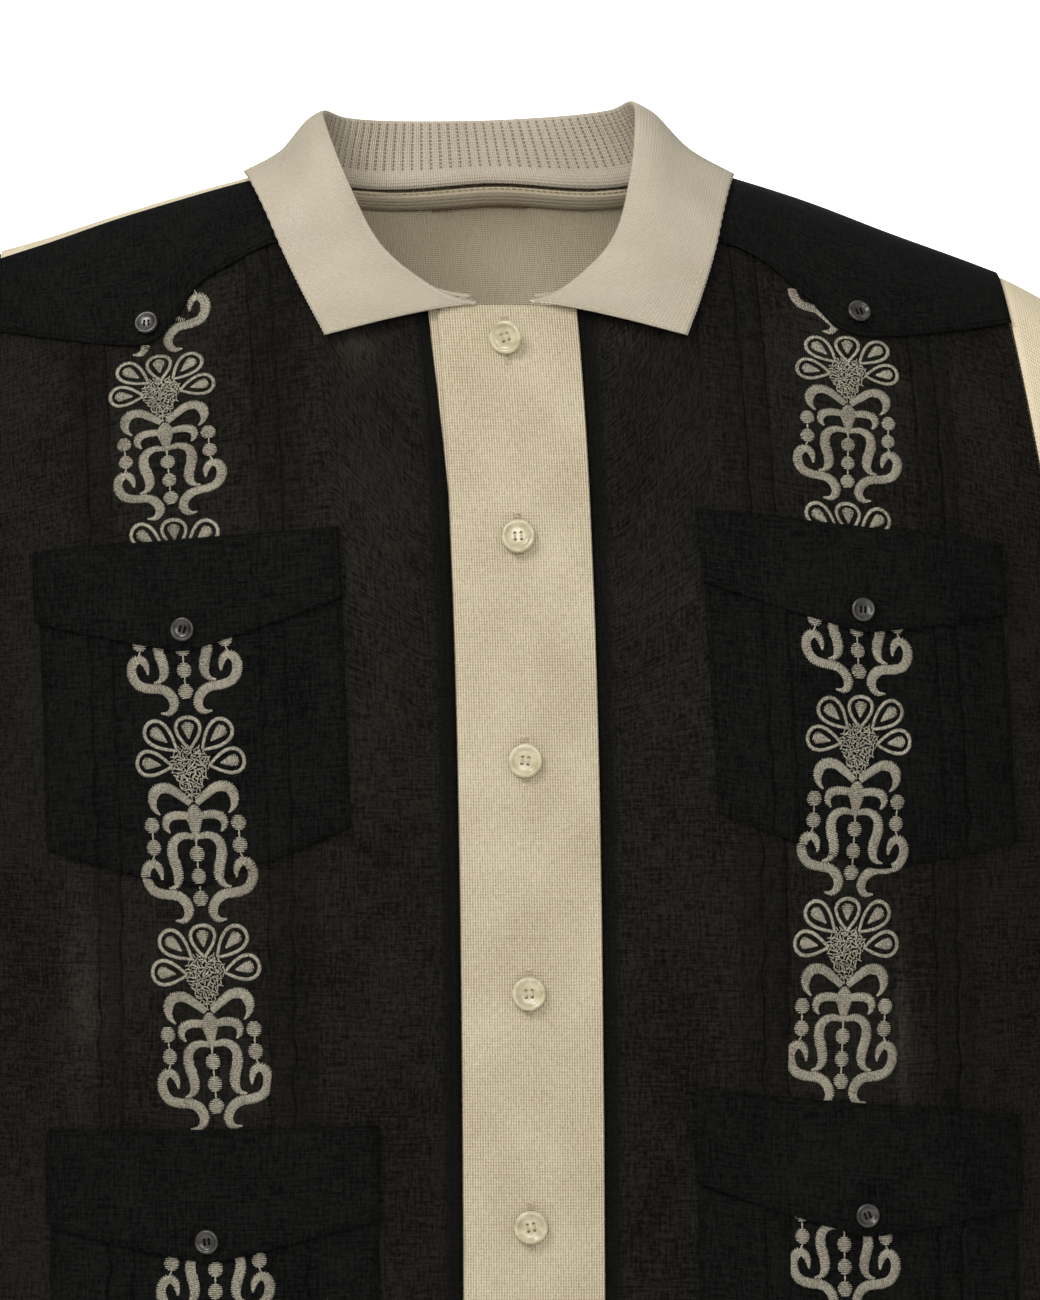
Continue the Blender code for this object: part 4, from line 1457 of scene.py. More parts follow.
@dataclass
class Yoke:
    """A pointed yoke over the top of a front panel."""

    form: BodyForm
    side: Side
    finish: Any
    lift: float = 0.0014
    lower: float = 0.0
    raised: float = 0.0
    raised_out: float = 0.1155
    raised_reach: float = 0.0127
    edge: tuple[tuple[float, float], ...] = (
        (0.062, -0.0325), (0.080, -0.0350), (0.093, -0.0390), (0.103, -0.0460), (0.110, -0.0530),
        (0.117, -0.0595), (0.124, -0.0670), (0.134, -0.0715), (0.147, -0.0715), (0.170, -0.0690),
        (0.205, -0.0640),
    )

    def edge_height(self, s: Any) -> Array:
        """Gives the height of the yoke's lower edge at s."""
        out = np.abs(np.asarray(s, dtype=float))
        raised = self.raised * np.exp(-((out - self.raised_out) / self.raised_reach) ** 2)
        return table_curve(out, self.edge, 1) - self.lower * np.clip((out - 0.085) / 0.03, 0, 1) + raised

    def build(self) -> Any:
        """Builds the yoke.

        Returns:
            The piece.
        """
        form, side = self.form, self.side
        places = columns_across(NECK_COLUMNS[3][0], form.arm_rest, 0.0025,
                                [row[0] for row in NECK_COLUMNS[4:]])
        keys = [row[0] for row in NECK_COLUMNS[3:]] + [0.083, form.arm_rest]
        values = [row[1] for row in NECK_COLUMNS[3:]] + [0.083, form.arm_rest]
        tops = np.interp(places, keys, values)
        low = np.array([-0.30, -0.265])
        climb = np.linspace(0, 1, 70)
        s, d = panel_grid(form, side.value, places, tops, 12, Face.FRONT, low, climb)
        edge_z = self.edge_height(s[-4])
        rows = np.linspace(0, 1, 30)
        grid_s = np.empty((len(rows), s.shape[1]))
        grid_d = np.empty_like(grid_s)
        order = np.arange(s.shape[0])
        for c in range(s.shape[1]):
            heights = form.bare(s[:, c], d[:, c])[:, 2]
            start = np.interp(edge_z[c], heights, order)
            at = start + (len(order) - 1 - start) * rows
            grid_s[:, c] = np.interp(at, order, s[:, c])
            grid_d[:, c] = np.interp(at, order, d[:, c])
        stand = np.exp(-rows / 0.05)[:, None] * 0.0004
        points = form.cloth(grid_s, grid_d, self.lift + stand)
        flat = flat_of(points, grid_s)
        if side is Side.RIGHT:
            points, flat = points[:, ::-1], flat[:, ::-1]
        piece = sheet_of(f"yoke_{side.label}_cloth", points[::-1], flat[::-1], 0.0006, self.finish)
        return dress(applied(piece), [f"yoke_{side.label}"])

    def stitch_row(self, inside: float) -> Array:
        """Gives the row of points for the stitching along the lower edge."""
        s = self.side.value * np.linspace(0.078, 0.198, 140)
        z = self.edge_height(s) + inside
        return self.form.cloth(s, self.form.along_to(s, z), self.lift + 0.0006)


@dataclass
class Pocket:
    """A patch pocket with its tucks, and its pointed flap."""

    form: BodyForm
    plan: PocketPlan
    finish: Any
    hidden_top: float = 0.006
    edge_lift: float = 0.0011
    puff: float = 0.0008
    flap_lift: float = 0.0030
    hinge: float = 0.0016

    def hinge_at(self, down: Array) -> Array:
        """Gives how much closer the flap lies near its top seam."""
        return np.exp(-down / self.hinge) * self.hinge

    def lift_at(self, across: Any, down: Any) -> Array:
        """Gives how far the pocket's cloth stands out.

        Args:
            across: Distance from the pocket's middle.
            down: Distance down from its top.

        Returns:
            The lift at each place.
        """
        side_share = np.clip(np.abs(across) / (self.plan.width / 2), 0, 1)
        down_share = np.clip(down / self.plan.deep_point, 0, 1)
        return self.edge_lift + self.puff * (1 - side_share ** 4) * (1 - down_share ** 5)

    def build(self) -> Any:
        """Builds the pocket.

        Returns:
            The piece.
        """
        plan = self.plan
        half = plan.width / 2
        kept = [way * step for way in (-1, 1) for step in TUCK_STEPS[1:]]
        columns = columns_across(-half, half, 0.0025, kept)
        bottom = plan.outline(columns, plan.width, plan.deep, plan.deep_point)
        rows = np.linspace(0, 1, 46)[:, None]
        down = self.hidden_top + (bottom[None, :] - self.hidden_top) * rows
        across = np.broadcast_to(columns, down.shape)
        s, d = plan.place(self.form, across, down)
        z = self.form.bare(s, d)[..., 2]
        side = plan.side
        inside = np.clip((half - np.abs(across)) / 0.004, 0, 1)
        rise = tuck_rise(across) * inside + pucker(across, z, side)
        s = s + side.value * tuck_wander(across, z, side) * inside
        lift = self.lift_at(across, down) + rise
        points = self.form.cloth(s, d, lift)
        flat = np.stack([s, -down], axis=-1)
        # Painted shadow at the tucks' feet, as a mask for the finish.
        line = painted_tuck_shadow(across, z) * inside
        if side is Side.RIGHT:
            points, flat, line = points[:, ::-1], flat[:, ::-1], line[:, ::-1]
        piece = sheet_of(f"pocket_{plan.name}_cloth", points, flat, BLACK_WALL, self.finish)
        mark(piece, "line", line)
        return dress(applied(piece), [f"pocket_{plan.name}"])

    def flap_lift_at(self, across: Any, down: Any) -> Array:
        """Gives how far the flap stands out; its lower edge stands off a little and unevenly."""
        share = np.clip(down / self.plan.flap_point, 0, 1)
        uneven = 1 + 0.5 * np.sin(across * 110 + self.plan.z * 40)
        return self.flap_lift + 0.0007 * share ** 2 * uneven

    def build_flap(self) -> Any:
        """Builds the flap.

        Returns:
            The piece.
        """
        plan = self.plan
        half = plan.width / 2 + 0.0008
        across = columns_across(-half, half, 0.0022, (0.0,))
        bottom = plan.outline(across, 2 * half, plan.flap, plan.flap_point)
        rows = np.linspace(0, 1, 20)[:, None]
        down = bottom[None, :] * rows
        wide = np.broadcast_to(across, down.shape)
        s, d = plan.place(self.form, wide, down)
        points = self.form.cloth(s, d, self.flap_lift_at(wide, down) - self.hinge_at(down))
        flat = np.stack([s, -down], axis=-1)
        if plan.side is Side.RIGHT:
            points, flat = points[:, ::-1], flat[:, ::-1]
        piece = sheet_of(f"flap_{plan.name}_cloth", points, flat, 0.0007, self.finish)
        return dress(applied(piece), [f"flap_{plan.name}"])

    def flap_stitch_row(self, inside: float) -> Array:
        """Gives the row of points for the stitching round the flap."""
        plan = self.plan
        half = plan.width / 2 + 0.0008 - inside
        across = np.linspace(-half, half, 120)
        bottom = plan.outline(across, 2 * half, plan.flap - inside, plan.flap_point - inside)
        sides = np.linspace(0.002, 1, 14)
        across = np.concatenate([np.full(14, -half), across, np.full(14, half)])
        down = np.concatenate([sides * bottom[0], bottom, sides[::-1] * bottom[-1]])
        s, d = plan.place(self.form, across, down)
        return self.form.cloth(s, d, self.flap_lift_at(across, down) + 0.0004)

    def flap_top_row(self, inside: float) -> Array:
        """Gives the row of points for the stitching along the flap's top."""
        half = self.plan.width / 2
        across = np.linspace(-half, half, 90)
        down = np.full(90, inside)
        s, d = self.plan.place(self.form, across, down)
        return self.form.cloth(s, d, self.flap_lift_at(across, down) + 0.0004 - self.hinge_at(down))

    def edge_stitch_row(self, inside: float) -> Array:
        """Gives the row of points for the stitching round the pocket's open outline."""
        plan = self.plan
        half = plan.width / 2 - inside
        across = np.linspace(-half, half, 120)
        bottom = plan.outline(across, 2 * half, plan.deep - inside, plan.deep_point - inside)
        sides = np.linspace(0.12, 1, 60)
        across = np.concatenate([np.full(60, -half), across, np.full(60, half)])
        down = np.concatenate([sides * bottom[0], bottom, sides[::-1] * bottom[-1]])
        s, d = plan.place(self.form, across, down)
        rise = tuck_rise(across) * np.clip((plan.width / 2 - np.abs(across)) / 0.004, 0, 1)
        return self.form.cloth(s, d, self.lift_at(across, down) + rise + 0.0003)

    def covers(self, s: Array, z: Array) -> tuple[Array, Array, Array]:
        """Finds which places lie on the pocket.

        Args:
            s: Places across the form.
            z: Heights.

        Returns:
            Whether each lies on the pocket, and its places across and down there.
        """
        plan = self.plan
        turn = math.radians(plan.droop)
        fall = plan.z - z
        out = np.abs(s) - plan.out
        across = (out - fall * plan.spread) / (math.cos(turn) - math.sin(turn) * plan.spread)
        down = fall - across * math.sin(turn)
        bottom = plan.outline(across, plan.width, plan.deep, plan.deep_point)
        on = (np.abs(across) < plan.width / 2) & (down > self.hidden_top) & (down < bottom)
        return on, across, down


@dataclass
class Placket:
    """The cream button strip down the middle, with its under strip."""

    form: BodyForm
    finish: Any
    free: float = -0.0246
    seam: float = 0.0272
    corner: float = 0.004
    lift: float = 0.0016
    wall: float = 0.0011
    button_heights: tuple[float, ...] = (-0.0736, -0.1472, -0.2301, -0.3163, -0.4025, -0.4887, -0.5749)

    def rows(self) -> Array:
        """Gives the heights of the rows, from the neck down."""
        top = self.form.neck_front_z
        return np.concatenate([top - np.array([0, 0.0004, 0.0010, 0.0018, 0.0028, 0.0040]),
                               np.arange(top - 0.006, -0.42, -0.0026),
                               np.arange(-0.42, self.form.hem_z, -0.006), [self.form.hem_z]])

    def lift_at(self, s: Array, z: Array) -> Array:
        """Gives how far the top strip stands out, with dimples under its buttons.

        Args:
            s: Place across.
            z: Height.

        Returns:
            The lift at each place.
        """
        share = np.clip((s - self.free) / (self.seam - self.free), 0, 1)
        round_edge = (1 - (2 * share - 1) ** 8) * 0.0005
        dimple = np.zeros(np.shape(s))
        for height in self.button_heights:
            dimple = dimple - 0.0006 * np.exp(-((s / 0.009) ** 2) - ((z - height) / 0.013) ** 2)
        return self.lift + round_edge + dimple + 0.0003 * np.sin(z * 90 + s * 30) * np.sin(z * 37)

    def build_top(self) -> Any:
        """Builds the top strip.

        Returns:
            The piece.
        """
        z = self.rows()
        shares = columns_across(0.0, 1.0, 0.045, (0.012, 0.028, 0.972, 0.988))
        past = np.clip(1 - (self.form.neck_front_z - z) / self.corner, 0, 1)
        left = self.free + self.corner * (1 - np.sqrt(1 - past ** 2)) * 0.9
        left = left + 0.0003 * np.sin(z * 150) * np.sin(z * 61 + 1)
        s = left[:, None] + (self.seam - left[:, None]) * shares
        d = self.form.along_to(s, z[:, None])
        grid_z = np.broadcast_to(z[:, None], s.shape)
        points = self.form.cloth(s, d, self.lift_at(s, grid_z))
        flat = np.stack([s, grid_z], axis=-1)
        piece = sheet_of("placket_top_cloth", points, flat, self.wall, self.finish)
        return dress(applied(piece), ["placket_top"])

    def build_under(self) -> Any:
        """Builds the under strip.

        Returns:
            The piece.
        """
        z = self.rows()
        left = -UNDER_SEAM + GAP - peek_at(z)
        right = 0.0225
        s = left[:, None] + (right - left[:, None]) * np.linspace(0, 1, 18)
        grid_z = np.broadcast_to(z[:, None], s.shape)
        points = self.form.cloth(s, self.form.along_to(s, z[:, None]), 0.0)
        piece = sheet_of("placket_under_cloth", points, np.stack([s, grid_z], axis=-1), 0.0007, self.finish)
        return dress(applied(piece), ["placket_under"])

    def seam_row(self, side: Side, outside: float) -> Array:
        """Gives the row of points for the stitching on the black beside the placket."""
        top = self.form.neck_front_z - 0.004
        z = np.linspace(top, self.form.hem_z + 0.004, 640)
        s = (PLACKET_SEAM if side is Side.RIGHT else -UNDER_SEAM) + side.value * outside
        if side is Side.LEFT:
            s = s - peek_at(z)
        s = np.broadcast_to(s, z.shape)
        return self.form.cloth(s, self.form.along_to(s, z), PANEL_TOP + seam_ripple(z, side))

    def buttonhole_rows(self, half_length: float = 0.0085) -> list[Array]:
        """Gives short threads across each side of the upright buttonholes.

        Args:
            half_length: Half the length of a buttonhole.

        Returns:
            One row of points for each thread.
        """
        rows: list[Array] = []
        for height in self.button_heights:
            for side in (-1, 1):
                for z in np.arange(height - half_length, height + half_length, 0.00055):
                    s = side * np.array([0.0002, 0.0008, 0.0014])
                    grid_z = np.full(3, z)
                    lift = self.lift_at(s, grid_z) + self.wall / 2 + np.array([0.0001, 0.00025, 0.0])
                    rows.append(self.form.cloth(s, self.form.along_to(s, grid_z), lift))
            for end in (-1, 1):
                for k in range(3):
                    s = np.array([-0.0015, 0.0, 0.0015])
                    grid_z = np.full(3, height + end * (half_length + 0.0004 * k))
                    lift = self.lift_at(s, grid_z) + self.wall / 2 + np.array([0.0, 0.0003, 0.0])
                    rows.append(self.form.cloth(s, self.form.along_to(s, grid_z), lift))
        return rows


@dataclass
class Collar:
    """The knitted collar, its stand and leaf in one strip, and the tape under it."""

    form: BodyForm
    finish: Any
    tape_finish: Any
    wall: float = 0.0012
    end: float = 6.0
    fold_half: float = 0.061
    fold_front: float = 0.0800
    fold_back: float = 0.0495
    leaf_lift: float = 0.0044
    leaf_clear: float = 0.0046
    bulge: float = 0.0030
    sag: float = 0.0044
    sag_middle: float = 90.0
    sag_reach: float = 30.0
    fold_height: tuple[tuple[float, float], ...] = (
        (0, -0.0598), (10, -0.0579), (25, -0.0485), (45, -0.0310), (60, -0.0088), (80, 0.0152), (100, 0.0226),
        (125, 0.0214), (180, 0.0202))
    fold_tilt: float = 0.030
    leaf_lower: float = 0.0016
    leaf_edge: tuple[tuple[float, float, float], ...] = (
        (6, 0.0675, 0.112), (30, 0.0755, 0.090), (55, 0.0835, 0.062), (90, 0.0940, 0.000),
        (120, 0.0850, -0.032), (150, 0.0550, -0.056), (180, 0.0000, -0.069))
    shares: tuple[float, ...] = (0, 0.2, 0.38, 0.50, 0.75, 1)

    def clear_of_front(self, points: Array, least: Array) -> Array:
        """Moves points forward until they stand off the front's cloth.

        Args:
            points: Points of the collar.
            least: The least distance for each.

        Returns:
            The points.
        """
        form = self.form
        x = points[:, 0] - form.lean_at(points[:, 2])
        s = np.copysign(np.interp(np.abs(x), form.section_x, form.section_s), x)
        over = points[:, 2] < form.ridge_height(x) - 0.002
        z = np.where(over, points[:, 2], form.ridge_height(x) - 0.004)
        off = form.cloth(s, form.along_to(s, z), least)
        moved = points.copy()
        moved[:, 1] = np.where(over, np.minimum(points[:, 1], off[:, 1]), points[:, 1])
        return moved

    def section(self, angle: float, at: Array) -> Array:
        """Gives the strip at an angle round the neck: up the stand, over the fold and down the leaf.

        Args:
            angle: Turn from the middle of the front.
            at: Shares along the strip.

        Returns:
            One point for each share.
        """
        form = self.form
        turned = math.degrees(min(angle, FULL_TURN - angle))
        side = 1 if angle <= math.pi else -1
        base = form.cloth(*form.neck_place(angle, 0.0014))
        x, y = form.round_neck(angle, self.fold_half, self.fold_front, self.fold_back)
        fold_z = float(table_curve(turned, self.fold_height, 1)) + self.fold_tilt * x
        fold = np.array([x + float(form.lean_at(fold_z)), y, fold_z])
        edge_s = side * float(table_curve(turned, self.leaf_edge, 1))
        edge_d = float(table_curve(turned, self.leaf_edge, 2))
        over_shoulder = math.exp(-((turned - self.sag_middle) / self.sag_reach) ** 2)
        edge = form.cloth(edge_s, edge_d, self.leaf_lift - self.leaf_lower * over_shoulder)
        fall = edge - fold
        near = (edge_s * 0.92, edge_d * 0.86 + 1e-6)
        outward = form.cloth(*near, 0.01) - form.cloth(*near)
        outward = outward / np.linalg.norm(outward)
        stand = base + (fold - base) * 0.55
        sag = self.sag * over_shoulder
        high = fold + fall * 0.14 + outward * (self.bulge * 0.62 - sag * 0.10)
        middle = fold + fall * 0.55 + outward * (self.bulge * 0.75 - sag)
        points = smooth_through(np.array([base, stand, fold, high, middle, edge]), self.shares, at)
        if turned < 88:
            least = self.leaf_clear * np.clip((at - 0.2) / 0.2, 0, 1)
            leaf = at > 0.35
            points[leaf] = self.clear_of_front(points[leaf], least[leaf])
        return points

    def build(self) -> Any:
        """Builds the collar.

        Returns:
            The piece.
        """
        end = math.radians(self.end)
        angles = np.linspace(end, FULL_TURN - end, 380)
        at = np.concatenate([np.linspace(0, 0.36, 20), np.linspace(0.375, 0.50, 12),
                             np.linspace(0.52, 1, 26)])
        points = np.array([self.section(angle, at) for angle in angles])
        fold_row = points[:, 20]
        u = path_lengths(fold_row)
        middle = points[len(angles) // 2]
        v = path_lengths(middle)
        flat = np.stack(np.broadcast_arrays(u[:, None], v[None, :]), axis=-1)
        normal = np.cross(np.gradient(points, axis=0), np.gradient(points, axis=1))
        normal = unit(normal)
        stand = at[None, :] < 0.36
        roll = 0.0010 * np.clip(1 - ((v - 0.0030) / 0.0034) ** 2, 0, 1)[None, :]
        groove = -0.00022 * np.exp(-(np.sin(math.pi * u / 0.0035) / 0.35) ** 2)[:, None]
        relief = np.where(stand, roll + groove * (v[None, :] > 0.0068), 0.0)
        seen = points - normal * relief[..., None]
        scallop = 0.00022 * np.sin(FULL_TURN * u / 0.0024)
        seen[:, -1] += (points[:, -1] - points[:, -2]) * (scallop / 0.0015)[:, None]
        piece = sheet_of("collar_cloth", seen, flat, self.wall, self.finish)
        return dress(applied(piece), ["collar"])

    def leaf_row(self, share: float, low: float, high: float) -> Array:
        """Gives the row of points for the stitching along the leaf's edge.

        Args:
            share: How far down the strip.
            low: First angle in degrees.
            high: Last angle in degrees.

        Returns:
            The row of points.
        """
        rows = []
        for degrees in np.linspace(low, high, 150):
            near = self.section(math.radians(degrees), np.array([share - 0.01, share, share + 0.01]))
            ahead = self.section(math.radians(degrees + 0.3), np.array([share]))
            normal = np.cross(ahead[0] - near[1], near[2] - near[0])
            rows.append(near[1] - normal / np.linalg.norm(normal) * self.wall / 2)
        return np.array(rows)

    def end_row(self, angle: float, inside: float) -> Array:
        """Gives the row of points for the stitching along the collar's short end."""
        turn = math.radians(angle + math.copysign(inside, 180 - angle))
        ahead = math.radians(angle + math.copysign(inside + 0.3, 180 - angle))
        at = np.linspace(0.42, 0.955, 60)
        row = self.section(turn, at)
        other = self.section(ahead, at)
        normal = np.cross((other - row) * (1 if angle < 180 else -1), np.gradient(row, axis=0))
        return row - unit(normal) * self.wall / 2

    def build_tape(self) -> Any:
        """Builds the tape on the inside of the back.

        Returns:
            The piece.
        """
        form = self.form
        angles = np.radians(np.linspace(114, 246, 90))
        insets = -0.0006 - np.linspace(0, 0.0055, 6)
        rows = []
        for k, inset in enumerate(insets):
            deep = -0.0010 - 0.0004 * math.sin(math.pi * k / 5)
            rows.append([form.cloth(*form.neck_place(angle, inset), deep) for angle in angles])
        points = np.array(rows)
        u = path_lengths(points[0])
        flat = np.stack(np.broadcast_arrays(u[None, :], insets[:, None]), axis=-1)
        piece = sheet_of("neck_tape_cloth", points, flat, 0.0006, self.tape_finish)
        return dress(applied(piece), ["neck_tape"])

    def back_row(self, inset: float, deep: float, low: float = 116, high: float = 244) -> Array:
        """Gives a row of points along the inside of the back neck."""
        angles = np.radians(np.linspace(low, high, 120))
        return np.array([self.form.cloth(*self.form.neck_place(angle, inset), deep) for angle in angles])


@dataclass
class Sleeve:
    """A short sleeve from the armhole to its hem, with creases."""

    form: BodyForm
    side: Side
    finish: Any
    out: float = 50.0
    top_length: float = 0.240
    half_height: float = 0.078
    half_depth: float = 0.052
    gap: float = 0.0013
    count: int = 140
    wall: float = 0.0008

    def arm_loop(self) -> tuple[Array, Array]:
        """Gives the armhole's points, from the armpit up the front and down the back, and ways out of it."""
        form, side = self.form, self.side.value
        share = np.arange(self.count) / self.count
        front = share < 0.5
        climb = np.where(front, share * 2, 2 - share * 2)
        climb = 0.5 - 0.5 * np.cos(np.pi * climb)
        bow = 1 - np.sqrt(1 - (1 - climb) ** 2.2)
        s = side * (form.shoulder_tip + (form.quarter_girth - form.shoulder_tip) * bow)
        at_armpit = form.along_to(s, form.armpit_z) * np.where(front, 1, -1)
        d = at_armpit + (form.seam_forward[side] - at_armpit) * climb
        points = form.cloth(s, d)
        across = points - form.cloth(s - side * 0.002, d)
        across = unit(across)
        way = across * (0.35 + 0.65 * climb)[:, None] + np.array([side, 0, -0.62]) * (1.05 - climb)[:, None]
        return points, unit(way)

    def grid(self, shares: Array) -> Array:
        """Gives the sleeve's points for shares of the way from the armhole to the hem.

        Args:
            shares: Shares from 0 to 1.

        Returns:
            Rows of points round the sleeve.
        """
        side = self.side.value
        loop, ways = self.arm_loop()
        tilt = math.radians(self.out)
        axis = np.array([side * math.sin(tilt), 0, -math.cos(tilt)])
        down = np.array([-side * math.cos(tilt), 0, -math.sin(tilt)])
        tip = self.form.cloth(side * self.form.shoulder_tip, 1e-6)
        middle = tip + axis * self.top_length + down * self.half_height
        angle = FULL_TURN * np.arange(self.count)[:, None] / self.count
        forward = np.array([0, -1, 0])
        ring = middle + down * self.half_height * np.cos(angle) + forward * self.half_depth * np.sin(angle)
        start = loop + ways * self.gap
        pull = np.linalg.norm(ring - start, axis=1)[:, None]
        q = np.asarray(shares)[:, None, None]
        return (start * (1 + 2 * q) * (1 - q) ** 2 + ring * q * q * (3 - 2 * q)
                + ways * pull * 0.8 * q * (1 - q) ** 2 - axis * pull * 0.8 * q * q * (1 - q))

    def creased(self, points: Array, shares: Array) -> Array:
        """Adds soft folds that run from the armpit and round the sleeve.

        Args:
            points: Rows of points round the sleeve.
            shares: The rows' shares of the length.

        Returns:
            The moved points.
        """
        around = np.arange(self.count) / self.count
        first = np.gradient(points, axis=0)
        second = np.roll(points, -1, axis=1) - np.roll(points, 1, axis=1)
        normal = np.cross(first, second) * self.side.value
        normal = unit(normal)
        folds = ((0.10, 0.9, 0.055, 0.0035), (0.22, 0.5, 0.050, 0.0024), (0.36, -0.3, 0.060, 0.0022),
                 (0.62, 0.3, 0.060, 0.0024), (0.78, -0.5, 0.050, 0.0026), (0.91, -0.9, 0.055, 0.0035))
        rise = np.zeros(points.shape[:2])
        for place, lean, width, height in folds:
            off = (around[None, :] - place - 0.12 * lean * (shares[:, None] - 0.4) + 0.5) % 1 - 0.5
            along = np.sin(np.pi * np.clip(shares * 1.05, 0, 1)) ** 0.8
            rise = rise + height * along[:, None] * np.exp(-(off / width) ** 2)
        waves = np.sin(shares * 9 + 1)[:, None] * np.sin(around * FULL_TURN * 5)[None, :]
        rise = rise + 0.0007 * waves * along[:, None]
        return points - normal * rise[..., None]

    def build(self) -> Any:
        """Builds the sleeve.

        Returns:
            The piece.
        """
        shares = np.concatenate([np.linspace(0, 0.9, 44), [0.912, 0.915, 0.918, 0.93, 0.955, 0.98, 1.0]])
        points = self.creased(self.grid(shares), shares)
        length = np.linalg.norm(np.diff(points, axis=0), axis=-1).mean(axis=1)
        v = np.concatenate([[0.0], np.cumsum(length)])
        girth = 0.42
        u = np.arange(self.count) / self.count * girth
        flat = np.stack(np.broadcast_arrays(u[None, :], -v[:, None]), axis=-1)
        if self.side is Side.LEFT:
            points = points[:, ::-1]
        piece = sheet_of(f"sleeve_{self.side.label}_cloth", points[:, ::-1], flat, self.wall,
                         self.finish, closed=True)
        return dress(applied(piece), [f"sleeve_{self.side.label}"])

    def hem_row(self) -> Array:
        """Gives the row of points for the stitching round the hem."""
        shares = np.array([0.90, 0.915, 0.93])
        points = self.creased(self.grid(shares), shares)
        first = points[2] - points[0]
        second = np.roll(points[1], -1, axis=0) - np.roll(points[1], 1, axis=0)
        normal = np.cross(first, second) * self.side.value
        normal = unit(normal)
        row = points[1] - normal * self.wall / 2
        return np.concatenate([row, row[:1]])


@dataclass(frozen=True)
class ButtonPlan:
    """Sizes of one kind of button.

    Attributes:
        radius: Its radius.
        depth: Its thickness at the rim.
        hole: Radius of its four holes.
        hole_out: Distance of the holes from its middle.
        slot: A material slot name; not used.
    """

    radius: float
    depth: float
    hole: float
    hole_out: float
    slot: str


